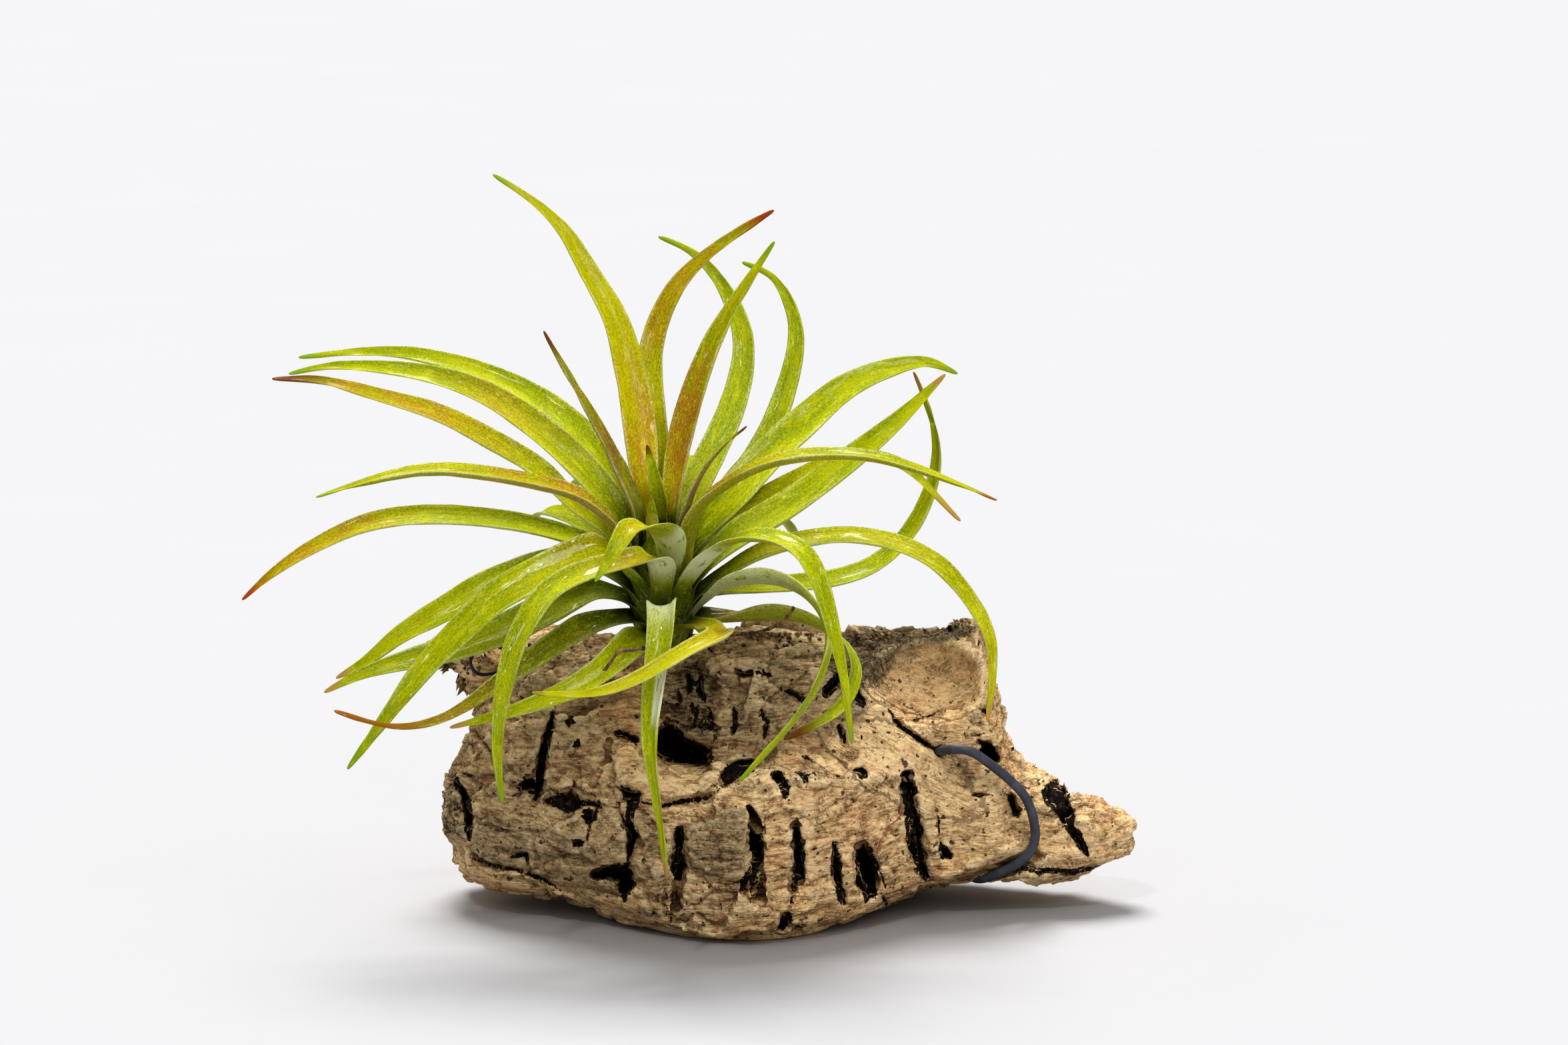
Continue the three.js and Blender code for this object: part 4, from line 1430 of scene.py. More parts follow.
FRONT_HOLLOWS = (
    Hollow(((1118, 1208), (1123, 1206), (1130, 1212), (1136, 1224), (1141, 1238), (1145, 1261),
            (1146, 1281), (1144, 1297), (1134, 1299), (1132, 1321), (1127, 1333), (1120, 1321),
            (1118, 1337), (1112, 1339), (1108, 1321), (1122, 1309), (1127, 1289), (1127, 1257),
            (1122, 1240), (1124, 1224)), 5),
    Hollow(((1190, 1240), (1196, 1236), (1199, 1242), (1200, 1257), (1206, 1273), (1209, 1293),
            (1204, 1313), (1196, 1323), (1186, 1321), (1188, 1305), (1192, 1281), (1190, 1261)), 6),
    Hollow(((1186, 1321), (1196, 1323), (1190, 1357), (1184, 1357)), 1.5),
    Hollow(((1247, 1263), (1252, 1263), (1255, 1273), (1259, 1279), (1261, 1305), (1264, 1329),
            (1268, 1357), (1261, 1359), (1253, 1337), (1249, 1321), (1246, 1297), (1248, 1281)), 5),
    Hollow(((1285, 1273), (1295, 1267), (1305, 1271), (1311, 1281), (1317, 1305), (1313, 1329),
            (1316, 1345), (1307, 1349), (1297, 1357), (1293, 1337), (1283, 1329), (1284, 1313),
            (1282, 1293)), 5),
    Crack(((1311, 1285), (1321, 1310), (1329, 1333)), 2, width=3),
    Hollow(((1322, 1340), (1335, 1361), (1329, 1364)), 2.5),
    Hollow(((1353, 1160), (1368, 1158), (1370, 1176), (1370, 1200), (1378, 1224), (1385, 1249),
            (1381, 1261), (1389, 1293), (1397, 1321), (1385, 1317), (1377, 1305), (1369, 1289),
            (1361, 1273), (1358, 1241), (1355, 1208), (1352, 1180)), 5),
    Crack(((1402, 1205), (1408, 1230), (1409, 1258)), 1.5, width=4),
    Hollow(((1409, 1257), (1416, 1269), (1427, 1281), (1429, 1292), (1419, 1285), (1412, 1291),
            (1407, 1280)), 3),
    Hollow(((1158, 1158), (1170, 1157), (1177, 1166), (1186, 1180), (1184, 1192), (1178, 1201),
            (1173, 1194), (1170, 1180), (1162, 1174), (1157, 1166)), 5),
    Hollow(((1192, 1156), (1200, 1154), (1212, 1160), (1214, 1174), (1206, 1178), (1200, 1168)), 2.5),
    Crack(((1218, 1156), (1224, 1166), (1231, 1176)), 1.5, width=4),
    Crack(((1202, 1134), (1212, 1138), (1222, 1146)), 1.5, width=4),
    Hollow(((1273, 1152), (1281, 1154), (1293, 1151), (1303, 1160), (1301, 1168), (1289, 1170),
            (1281, 1160)), 4),
    Hollow(((1080, 1164), (1088, 1152), (1104, 1143), (1122, 1138), (1138, 1144), (1130, 1158),
            (1114, 1164), (1100, 1174), (1086, 1180)), 5),
    Hollow(((1289, 1101), (1296, 1104), (1296, 1112), (1290, 1111)), 2),
    Crack(((1331, 1062), (1347, 1087), (1373, 1106), (1405, 1126), (1425, 1132)), 3, width=5),
    Crack(((1367, 1080), (1390, 1076), (1413, 1065)), 1.5, width=4),
    Crack(((1440, 1100), (1462, 1104), (1482, 1100)), 1.2, width=3),
    Hollow(((1465, 1107), (1476, 1112), (1490, 1120), (1500, 1138), (1484, 1146), (1472, 1130)), 6),
    Hollow(((1452, 1194), (1460, 1190), (1478, 1190), (1490, 1193), (1468, 1198)), 2.5),
    Crack(((1425, 1172), (1437, 1178), (1452, 1180)), 1, width=4),
    Hollow(((1170, 1375), (1184, 1369), (1187, 1381), (1176, 1400), (1166, 1393)), 3),
    Crack(((1190, 1387), (1200, 1390), (1212, 1388)), 1.5, width=5),
    Hollow(((784, 1169), (799, 1167), (805, 1179), (799, 1191), (787, 1186), (775, 1184)), 5),
    Crack(((830, 1068), (823, 1097), (813, 1138), (808, 1177), (803, 1200)), 5, width=9),
    Hollow(((845, 1081), (857, 1076), (862, 1083), (852, 1089)), 3),
    Hollow(((862, 1112), (868, 1110), (872, 1117), (867, 1122), (861, 1119)), 5),
    Hollow(((919, 1100), (929, 1095), (953, 1104), (957, 1112), (955, 1120), (938, 1110)), 4),
    Hollow(((977, 1124), (982, 1100), (996, 1086), (1011, 1088), (1035, 1108), (1050, 1117),
            (1069, 1126), (1071, 1145), (1054, 1150), (1025, 1148), (1001, 1143),
            (984, 1136)), 9, 4, 0.8),
    Hollow(((929, 1177), (948, 1186), (961, 1198), (958, 1210), (948, 1220), (944, 1236), (938, 1220),
            (934, 1201)), 6),
    Crack(((946, 1210), (944, 1240), (947, 1262), (942, 1290)), 4, width=8),
    Hollow(((888, 1311), (910, 1302), (929, 1297), (947, 1290), (949, 1316), (947, 1340), (936, 1357),
            (930, 1340), (929, 1321), (914, 1316), (893, 1320)), 6),
    Hollow(((813, 1201), (833, 1190), (852, 1189), (881, 1199), (901, 1203), (903, 1213), (881, 1210),
            (852, 1222), (823, 1209)), 2.0, 2.5),
    Hollow(((875, 1216), (883, 1213), (893, 1217), (895, 1228), (888, 1238), (877, 1236),
            (873, 1226)), 6),
    Crack(((885, 1236), (882, 1250), (881, 1262)), 1.5, width=4),
    Hollow(((858, 1261), (866, 1259), (877, 1262), (873, 1271), (861, 1270)), 5),
    Crack(((766, 1287), (778, 1283), (790, 1281), (792, 1290), (792, 1299)), 2.5, width=5),
    Crack(((684, 1166), (692, 1186), (701, 1202), (703, 1230), (704, 1262)), 4, width=8),
    Crack(((704, 1286), (730, 1296), (775, 1306), (812, 1318), (838, 1334)), 2, width=5),
    Hollow(((1015, 1239), (1025, 1239), (1028, 1254), (1025, 1268), (1027, 1297), (1023, 1321),
            (1013, 1321), (1006, 1307), (1011, 1273), (1011, 1249)), 5),
    Crack(((988, 1322), (986, 1345), (984, 1366)), 1.5, width=3),
    Crack(((998, 1326), (998, 1350), (999, 1380)), 1.5, width=4),
    Crack(((1007, 1326), (1008, 1350), (1006, 1384)), 1.5, width=3),
    Crack(((1014, 1330), (1016, 1355)), 1.2, width=3),
    Crack(((960, 1203), (993, 1210), (1020, 1203), (1060, 1198), (1084, 1180)), 2, width=5),
    Hollow(((1283, 1030), (1292, 1040), (1300, 1058), (1294, 1066), (1284, 1052), (1278, 1040)), 3.5),
    Hollow(((1232, 1046), (1240, 1026), (1258, 1008), (1264, 1014), (1256, 1034), (1242, 1048)), 4),
    Hollow(((1418, 941), (1427, 938), (1432, 946), (1424, 952)), 3),
    Hollow(((1472, 1064), (1481, 1062), (1484, 1071), (1476, 1074)), 3),
    Hollow(((1510, 1110), (1517, 1112), (1527, 1124), (1520, 1127)), 2),
    Hollow(((1508, 1190), (1518, 1192), (1530, 1218), (1531, 1234), (1520, 1224)), 3),
    Hollow(((1562, 1186), (1576, 1172), (1596, 1168), (1610, 1180), (1604, 1200), (1614, 1226),
            (1606, 1246), (1592, 1236), (1578, 1214), (1566, 1204)), 4, 2.5),
    Crack(((1598, 1236), (1616, 1256), (1632, 1284)), 3.5, width=10),
    Crack(((1509, 1300), (1560, 1306), (1610, 1308), (1652, 1300)), 2, width=7),
    Crack(((1258, 1086), (1262, 1100), (1266, 1116)), 2, width=7),
    Crack(((1100, 1004), (1120, 1012), (1142, 1008), (1160, 1016)), 2, width=6),
    Crack(((1176, 1036), (1196, 1044), (1210, 1062)), 2, width=6),
    Crack(((1100, 1060), (1104, 1080), (1098, 1104)), 2, width=6),
    Crack(((1140, 1062), (1150, 1084), (1146, 1110)), 2, width=6),
    Crack(((1030, 950), (1052, 962), (1070, 980)), 2, width=6),
    Crack(((1030, 1008), (1036, 1024), (1032, 1042)), 2, width=7),
    Crack(((1052, 1014), (1050, 1036), (1058, 1052)), 2.5, width=8),
    Crack(((1036, 1056), (1046, 1070), (1044, 1086)), 2.5, width=7),
    Crack(((1062, 1060), (1066, 1078), (1060, 1096)), 2, width=6),
    Crack(((1016, 1030), (1020, 1050), (1014, 1066)), 1.5, width=5),
)

FRONT_PLATES = (
    Hollow(((920, 1122), (929, 1114), (953, 1120), (972, 1139), (1006, 1154), (1049, 1158), (1083, 1149),
            (1089, 1162), (1059, 1186), (1035, 1199), (1006, 1203), (992, 1196), (970, 1206),
            (948, 1184), (929, 1176), (922, 1153)), -2.6, 2),
    Hollow(((1027, 1243), (1080, 1216), (1107, 1208), (1119, 1210), (1125, 1224), (1125, 1306),
            (1100, 1318), (1080, 1314), (1040, 1297), (1030, 1273)), -1.2, 2),
    Hollow(((824, 1184), (838, 1166), (853, 1158), (870, 1164), (884, 1180), (890, 1188), (878, 1188),
            (868, 1184), (845, 1186)), -1.8, 2),
    Hollow(((698, 1292), (707, 1300), (736, 1312), (765, 1309), (799, 1310), (823, 1324), (842, 1340),
            (836, 1350), (740, 1350), (704, 1322)), -0.9),
    Hollow(((950, 1218), (972, 1213), (1005, 1245), (1003, 1313), (973, 1330), (952, 1310)), -0.9, 2),
    Hollow(((1016, 1004), (1060, 998), (1078, 1040), (1070, 1076), (1035, 1080), (1012, 1050)), 1.5, 8),
    Hollow(((1158, 1150), (1170, 1122), (1182, 1114), (1205, 1118), (1222, 1130), (1234, 1140),
            (1252, 1138), (1274, 1154), (1300, 1156), (1356, 1160), (1350, 1172), (1240, 1180),
            (1180, 1170)), -1.4, 3),
    Hollow(((1418, 1155), (1470, 1140), (1474, 1165), (1420, 1172)), 0.7, 5),
    Hollow(((1280, 952), (1330, 944), (1392, 950), (1425, 926), (1446, 928), (1440, 950), (1390, 968),
            (1300, 975)), -1.0, 5),
    Hollow(((1404, 1313), (1460, 1288), (1549, 1258), (1553, 1269), (1470, 1300), (1408, 1324)), -1.6),
    Hollow(((1410, 1328), (1470, 1304), (1556, 1274), (1572, 1284), (1540, 1306), (1470, 1326),
            (1420, 1338)), 2.5),
    Crack(((697, 1286), (735, 1312), (800, 1310), (842, 1342), (880, 1360), (930, 1388)), -0.9, width=6),
)


CORK_FIELDS = {
    "broad": Grain("object", (70.0, 70.0, 90.0), 4.0, 0.4),
    "blotch": Grain("object", (260.0, 260.0, 340.0), 5.0, 0.8, 0.7),
    "lines": Grain("grain", (0.10, 0.9, 0.25), 5.0, 0.35, 0.65),
    "threads": Grain("grain", (0.32, 2.0, 0.5), 4.0, 0.3, 0.6),
    "hairs": Grain("grain", (0.7, 4.4, 1.2), 3.0, 0.4, 0.6),
    "fine": Grain("object", (1300.0, 1300.0, 1700.0), 4.0, 0.5, 0.7),
    "wrinkles": Grain("object", (620.0, 620.0, 1150.0), 5.0, 1.4, 0.7),
    "pits": Grain("object", (620.0, 620.0, 700.0), 2.0),
    "splints": Grain("object", (1300.0, 1300.0, 110.0), 3.0),
    "tan_parts": Band("broad", 0.32, 0.68),
    "rusty_parts": Band("broad", 0.6, 0.72),
    "brown_blotches": Band("blotch", 0.5, 0.66),
    "pale_blotches": Band("blotch", 0.48, 0.34),
    "dark_lines": Band("lines", 0.5, 0.62),
    "dark_threads": Band("threads", 0.5, 0.62),
    "light_threads": Band("threads", 0.47, 0.36),
    "dark_hairs": Band("hairs", 0.52, 0.66),
    "dark_wrinkles": Band("wrinkles", 0.5, 0.36),
    "grey_wrinkles": Band("wrinkles", 0.4, 0.6),
    "rising": Band("wrinkles", 0.47, 0.5),
    "falling": Band("wrinkles", 0.53, 0.5),
    "hairline": Product(("rising", "falling", "brown_blotches")),
    "dark_grains": Band("fine", 0.5, 0.64),
    "light_grains": Band("fine", 0.48, 0.36),
    "black_pits": Band("pits", 0.66, 0.71),
    "open_splints": Band("splints", 0.5, 0.64),
    # Ragged edges of the painted shade in cracks and holes.
    "ragged_crevice_shade": Product(("crevice_shade", "splints", "fine"), 4.0),
    "torn": Band("ragged_crevice_shade", 0.36, 0.56),
    "stone": Product(("weathered_and_shaded", "wrinkles")),
}


@dataclass(frozen=True)
class CorkFinish:
    """Virgin cork: dry, matt layers, tan where broken, grey with weathering and some painted shade, with
    painted shade in cracks, holes and hollows and painted highlight on crowns.
    """

    pale: str = "#FFDCA4"
    tan: str = "#EEC086"
    brown: str = "#A8744A"
    umber: str = "#765230"
    grey: str = "#B8A47A"
    dark_grey: str = "#4E4430"
    crevice_shade: str = "#110B07"
    splinter: str = "#4E3826"
    rust: str = "#AE6E2C"
    chalk_and_highlight: str = "#FCE2B2"
    moss: str = "#2E2E1C"

    def material(self) -> Material:
        """Makes the bark's material. Its layers lie 1.1 mm apart and its threads 0.5 mm.

        Returns:
            The material.
        """
        layers = (
            Layer(self.tan, ("tan_parts",)),
            Layer(self.brown, ("brown_blotches",), 0.55),
            Layer(self.rust, ("rusty_parts",), 0.3),
            # Grey weathering, in places painted shade.
            Layer(self.grey, ("weathered_and_shaded",), 0.75),
            Layer(self.dark_grey, ("weathered_and_shaded", "brown_blotches"), 0.7),
            Layer(self.dark_grey, ("weathered_and_shaded", "dark_wrinkles"), 0.85),
            Layer(self.brown, ("dark_lines",), 0.7),
            Layer(self.umber, ("dark_threads",), 0.55),
            Layer(self.chalk_and_highlight, ("light_threads",), 0.5),
            Layer(self.pale, ("smooth",), 0.5),
            Layer(self.umber, ("dark_hairs",), 0.35),
            Layer(self.umber, ("dark_grains",), 0.4),
            Layer(self.chalk_and_highlight, ("light_grains",), 0.35),
            # Pale chalky patches, in places painted highlight.
            Layer(self.chalk_and_highlight, ("chalky_and_lit", "pale_blotches"), 0.8),
            Layer(self.rust, ("rusty", "brown_blotches")),
            Layer(self.moss, ("mossy", "grey_wrinkles")),
            # Painted highlight on crowns and painted shade in hollows, from the surface's curvature.
            Layer(self.chalk_and_highlight, ("crown_highlight",), 0.5),
            Layer(self.umber, ("hollow",), 0.6),
            # Painted shade: near black in hairline cracks and pits.
            Layer(self.crevice_shade, ("hairline",), 0.7),
            Layer(self.crevice_shade, ("black_pits",), 0.85),
            # Dark stains, in places painted shadow.
            Layer(self.crevice_shade, ("soot_and_shadow", "dark_wrinkles")),
            Layer(self.crevice_shade, ("soot_and_shadow",), 0.4),
            Layer(self.crevice_shade, ("soot_and_shadow", "dark_threads"), 0.6),
            # Painted shade in cracks and holes, with ragged edges.
            Layer(self.crevice_shade, ("torn",)),
            Layer(self.splinter, ("torn", "open_splints"), 0.6),
        )
        return Finish(
            name="virgin_cork_bark",
            base=self.pale,
            steps=CORK_FIELDS,
            layers=layers,
            relief={
                "fine": 0.4,
                "lines": -0.8,
                "threads": -0.9,
                "hairs": -0.4,
                "blotch": -0.5,
                "stone": 1.2,
                "hairline": -0.5,
                "black_pits": -0.8,
            },
            relief_depth=0.9,
            relief_strength=0.9,
            marks={
                "bark": ("crevice_shade", "weathered_and_shaded", "smooth"),
                "relief": ("hollow", "crown_highlight", "mossy"),
                "stain": ("soot_and_shadow", "rusty", "chalky_and_lit"),
            },
            vectors=("grain",),
            values={"Roughness": 0.92, "IOR": 1.4, "Specular IOR Level": 0.25},
        ).material()


@dataclass
class CorkBark:
    """The cork: a fine copy of its solid with the cracks, holes and layers of its front."""

    voxel: float = 0.42
    big_chips: float = 1.3
    small_chips: float = 0.62
    layers: float = 0.45
    ridges: float = 0.28
    crumbs: float = 0.3
    fissure: float = 0.8
    least_rough: float = 0.5
    most_triangles: int = 196000
    # Grey weathering, and painted shade on the bark behind the leaves and over the low left.
    greyed_and_shaded: tuple[Zone | Patch, ...] = (
        Zone(((690, 1100), (730, 1070), (830, 1050), (930, 1085), (922, 1125), (930, 1180), (944, 1230),
              (942, 1300), (938, 1352), (870, 1350), (838, 1332), (800, 1305), (735, 1308), (700, 1285),
              (660, 1250), (650, 1190)), 0.62),
        Zone(((975, 960), (1080, 940), (1130, 936), (1230, 940), (1290, 980), (1300, 1060), (1278, 1100),
              (1236, 1116), (1190, 1112), (1150, 1140), (1085, 1146), (1048, 1112), (1005, 1080),
              (960, 1080)), 0.95),
        Zone(((1030, 1245), (1058, 1226), (1085, 1212), (1108, 1207), (1120, 1212), (1126, 1250),
              (1124, 1304), (1110, 1320), (1080, 1326), (1045, 1310), (1028, 1290)), 1.0, 3.0),
        Zone(((950, 1216), (975, 1211), (1000, 1225), (1010, 1245), (1008, 1320), (975, 1335),
              (950, 1320)), 0.8, 3.0),
        Zone(((698, 1240), (760, 1225), (850, 1240), (940, 1250), (942, 1340), (880, 1352), (836, 1330),
              (800, 1304), (735, 1306), (700, 1284)), 0.95),
        Zone(((1231, 960), (1268, 946), (1330, 943), (1414, 938), (1429, 918), (1462, 918), (1450, 953),
              (1429, 963), (1388, 966), (1372, 984), (1336, 1005), (1325, 1021), (1299, 1031),
              (1280, 1060), (1262, 1040), (1250, 1000)), 1.0, 3.0),
        Zone(((840, 1345), (940, 1360), (1000, 1340), (1090, 1335), (1080, 1420), (940, 1410)), 0.3),
        Zone(((760, 965), (830, 945), (900, 945), (940, 1040), (880, 1075), (800, 1080),
              (760, 1030)), 0.8),
    )
    rugged: tuple[Patch, ...] = (
        Patch((1120, 1030), (130, 80), 0.9, -8),
        Patch((1350, 955), (120, 34), turn=-5),
        Patch((700, 1020), (60, 40)),
        Patch((800, 1015), (60, 60), 0.8),
        Patch((800, 1180), (170, 120), 0.8),
        Patch((1490, 1110), (40, 50), 0.6),
        Patch((1610, 1210), (60, 60), 0.4),
        Patch((1120, 1380), (120, 30), 0.5),
    )
    smoothed: tuple[Patch, ...] = (
        Patch((1400, 1010), (85, 60), turn=10),
        Patch((1330, 1120), (105, 50), turn=28),
        Patch((1440, 1230), (80, 60), 0.5, 20),
        Patch((1000, 1175), (70, 25), 0.6, 8),
        Patch((830, 1280), (120, 60), 0.4, 8),
    )
    moss: tuple[Patch, ...] = (
        Patch((678, 1210), (24, 50)),
        Patch((1350, 952), (100, 16), turn=-3),
        Patch((1285, 1000), (30, 60), 0.8),
        Patch((1440, 940), (20, 16), 0.8),
        Patch((1150, 1010), (60, 40), 0.3),
        Patch((1585, 1205), (25, 35), 0.6, -20),
        Patch((1570, 1305), (80, 12), 0.7),
    )
    # Dark stains, and painted shadow under the ledge at the lower right and painted shade over the low
    # left.
    soot_and_shadow: tuple[Patch, ...] = (
        Patch((1290, 1064), (12, 12)),
        Patch((1310, 985), (36, 18), 0.8, -20),
        Patch((1480, 1312), (70, 9), 0.9, -18),
        Patch((1044, 1040), (36, 46), 0.9),
        Patch((1024, 1120), (46, 30), 0.6, 10),
        Patch((1110, 1330), (32, 10), 0.8),
        Patch((1105, 1160), (24, 14), 0.6, -20),
        Patch((1000, 1365), (26, 30), 0.35),
        Patch((925, 1320), (20, 20), 0.4),
        Patch((1420, 946), (22, 12), 0.7, -20),
        Patch((1335, 958), (80, 17), 0.9, -3),
        Patch((1262, 985), (26, 42), 0.75, 10),
        Patch((1440, 934), (26, 18), 0.9),
        Patch((1030, 1076), (44, 22), 0.9, 20),
        Patch((1312, 988), (40, 28), turn=-35),
        Patch((1275, 1030), (20, 34), 0.8, 10),
        Patch((790, 1275), (90, 40), 0.35, 8),
        Patch((1078, 1262), (46, 50), 0.35),
        Patch((1440, 1330), (50, 9), 0.8, -18),
    )
    rust: tuple[Patch, ...] = (
        Patch((1495, 1214), (8, 8)),
        Patch((862, 1207), (40, 10), 0.8),
        Patch((1130, 1350), (60, 20), 0.4),
        Patch((963, 1292), (7, 10), 0.8),
        Patch((1375, 1112), (40, 6), 0.6, 30),
    )
    # Pale chalky patches, and painted highlight on the lit top of the ledge at the lower right and in the
    # wing's dish.
    chalk_and_highlight: tuple[Patch, ...] = (
        Patch((1010, 1175), (80, 25), 0.9, 5),
        Patch((890, 1120), (45, 38), 0.6),
        Patch((1400, 1020), (80, 50), 0.25, 10),
        Patch((1190, 1135), (40, 20), 0.8),
        Patch((1190, 955), (60, 14), 0.5),
        Patch((1260, 1230), (110, 40), 0.4),
        Patch((1400, 1200), (120, 60), 0.4, 20),
        Patch((1480, 1290), (80, 9), turn=-18),
        Patch((1620, 1240), (60, 30), 0.5),
        Patch((770, 1318), (80, 14), 0.5, 10),
    )
    wing: Patch = Patch((1395, 1010), (100, 75), turn=8)
    wing_centre: Pair = (1400.0, 955.0)
    plane: Patch = Patch((1350, 1150), (130, 55), turn=28)
    fine_bend: int = 3
    broad_bend: int = 25

    def build(self, node: Object, neighbours: Sequence[Object]) -> Object:
        """Makes the bark from its solid.

        Args:
            node: The cork's solid.
            neighbours: The solids that the bark's relief keeps clear of.

        Returns:
            The finished bark.
        """
        piece = merged_copy(node, "bark")
        apply_modifier(piece, "REMESH", mode="VOXEL", voxel_size=1.2 * self.voxel * MM)
        apply_modifier(piece, "SMOOTH", factor=0.5, iterations=3)
        room = self.room(piece, neighbours)
        self.carve(piece, room)
        apply_modifier(piece, "REMESH", mode="VOXEL", voxel_size=self.voxel * MM)
        room = self.room(piece, neighbours)
        self.roughen(piece, room)
        self.thin(piece)
        self.mark(piece)
        finish_piece(piece, CorkFinish().material(), "cork", "cork_bark")
        return piece

    @staticmethod
    def room(piece: Object, neighbours: Sequence[Object]) -> Array:
        """Says how free each point of the bark is to rise.

        Args:
            piece: The bark.
            neighbours: The solids to keep clear of.

        Returns:
            0 beside a neighbour and 1 from 4 mm away.
        """
        near = KDTree(sum(len(node.data.vertices) for node in neighbours))
        for node in neighbours:
            for vertex in node.data.vertices:
                near.insert(vertex.co, 0)
        near.balance()
        gaps = np.array([near.find(vertex.co)[2] for vertex in piece.data.vertices]) / MM
        return smooth_step(1.0, 4.0, gaps)

    def facing(self, piece: Object) -> Array:
        """Says how far each point of the bark faces the photograph's camera."""
        forward = VIEW.axes()[2]
        return smooth_step(0.0, 0.3, -(normals_of(piece) @ forward))

    def cuts(self, piece: Object) -> tuple[Array, Array]:
        """Finds how deep each point lies in the front's hollows, and how far it sinks or rises.

        Args:
            piece: The bark.

        Returns:
            The strongest share of painted shade over the hollows, and the whole depth in millimetres.
        """
        points = points_of(piece)
        pixels = VIEW.pixels(points)
        ragged = 1.2 * noise(points, 1.2, 5) + 1.0 * noise(points, 3.5, 6)
        ragged += 1.8 * noise(points * (1.0, 1.0, 0.2), 0.9, 7)
        facing = self.facing(piece)
        depth = np.zeros(len(points))
        hole_shade = np.zeros(len(points))
        for hollow in FRONT_HOLLOWS:
            near = hollow.near(pixels)
            share = hollow.share(pixels[near], ragged[near]) * facing[near]
            depth[near] = np.maximum(depth[near], share * hollow.depth)
            # Painted shade: deeper holes are painted darker.
            black = hollow.dark * min(1.0, 0.3 + hollow.depth / 5)
            hole_shade[near] = np.maximum(hole_shade[near], share * black)
        for plate in FRONT_PLATES:
            near = plate.near(pixels)
            depth[near] += plate.share(pixels[near], ragged[near]) * facing[near] * plate.depth
        return hole_shade, depth

    def carve(self, piece: Object, room: Array) -> None:
        """Pushes the front's cracks and holes in, and its plates out.

        Args:
            piece: The bark.
            room: How free each point is to rise.
        """
        points = points_of(piece)
        _, depth = self.cuts(piece)
        forward = VIEW.axes()[2]
        floor = smooth_step(0.3, 3.0, points[:, 2])
        inward = np.where(depth < 0, depth * room, depth)
        move_points(piece, points + forward * (inward * floor)[:, None])

    def roughen(self, piece: Object, room: Array) -> None:
        """Breaks the smooth surface up into flat chips, layers, fissures and crumbs.

        Args:
            piece: The bark.
            room: How free each point is to rise.
        """
        points = points_of(piece)
        normals = normals_of(piece)
        # Each noise has its width in millimetres and a seed of its own.
        warp = np.stack([noise(points, 4.5, seed) for seed in (41, 42, 43)], axis=1)
        bent = points + 1.2 * warp
        facing = self.facing(piece)
        rough = self.least_rough + (1 - self.least_rough) * self.region(self.rugged, points)
        smooth = facing * self.region(self.smoothed, points)
        rough = (1 + facing * (rough - 1)) * (1 - 0.6 * smooth)
        fine = 1 - 0.6 * smooth
        chip, chip_edge = shards(bent * (0.8, 0.8, 1.3), 9.0, 11)
        flake, flake_edge = shards(bent * (0.7, 0.8, 1.5), 3.6, 15)
        layer = stepped(noise(bent * (0.28, 0.4, 1.5), 3.2, 12), 2.5, 0.25)
        crumb = np.abs(noise(points, 2.2, 13)) + 0.6 * np.abs(noise(points, 1.2, 14))
        ridge = noise(bent * (0.22, 0.4, 1.8), 1.8, 23)
        lift = rough * (self.big_chips * chip + self.small_chips * flake + self.layers * layer)
        lift += fine * (self.ridges * ridge + self.crumbs * (0.6 - crumb))
        broken = smooth_step(-0.1, 0.5, noise(points, 8.0, 18))
        cracks = np.maximum(
            smooth_step(0.09, 0.03, chip_edge) * broken,
            0.6 * smooth_step(0.10, 0.03, flake_edge) * smooth_step(0.1, 0.5, noise(points, 6.0, 19)),
        )
        cracks *= rough
        lift -= self.fissure * cracks
        lift = np.where(lift > 0, lift * room, lift * (0.4 + 0.6 * room))
        floor = smooth_step(0.2, 2.0, points[:, 2])
        moved = points + normals * (lift * floor)[:, None]
        moved[:, 2] = np.maximum(moved[:, 2], 0.0)
        move_points(piece, moved)
        held = piece.data.attributes.new("cracks", "FLOAT", "POINT")
        held.data.foreach_set("value", (cracks * floor).astype(np.float32))

    def thin(self, piece: Object) -> None:
        """Drops the triangles that flat parts don't need.

        Args:
            piece: The bark.
        """
        with edited(piece):
            bpy.ops.mesh.quads_convert_to_tris()
        share = min(1.0, self.most_triangles / len(piece.data.polygons))
        apply_modifier(piece, "DECIMATE", ratio=share)

    @staticmethod
    def region(patches: Sequence[Patch], points: Array) -> Array:
        """Joins several regions.

        Args:
            patches: The regions.
            points: The places to test in millimetres, one row each.

        Returns:
            The strongest region's share at each point.
        """
        pixels = VIEW.pixels(points)
        ragged = noise(points, 5.0, 21) + 0.6 * noise(points, 1.8, 22)
        share = np.zeros(len(points))
        for patch in patches:
            share = np.maximum(share, patch.share(pixels, ragged))
        return share

    def mark(self, piece: Object) -> None:
        """Writes what the bark's material reads.

        Args:
            piece: The bark.
        """
        points = points_of(piece)
        facing = self.facing(piece)
        crevice_shade, _ = self.cuts(piece)
        cracks = np.empty(len(points), np.float32)
        piece.data.attributes["cracks"].data.foreach_get("value", cracks)
        # Painted shade in the fissures, half as dark.
        crevice_shade = np.maximum(crevice_shade, 0.5 * cracks)
        beyond = 1 - facing
        # Grey weathering, in places painted shade, and random grey beyond the front.
        grey = self.region(self.greyed_and_shaded, points) * facing
        grey = np.maximum(grey, beyond * smooth_step(-0.1, 0.35, noise(points, 14.0, 31)))
        smoothed = self.region(self.smoothed, points) * facing
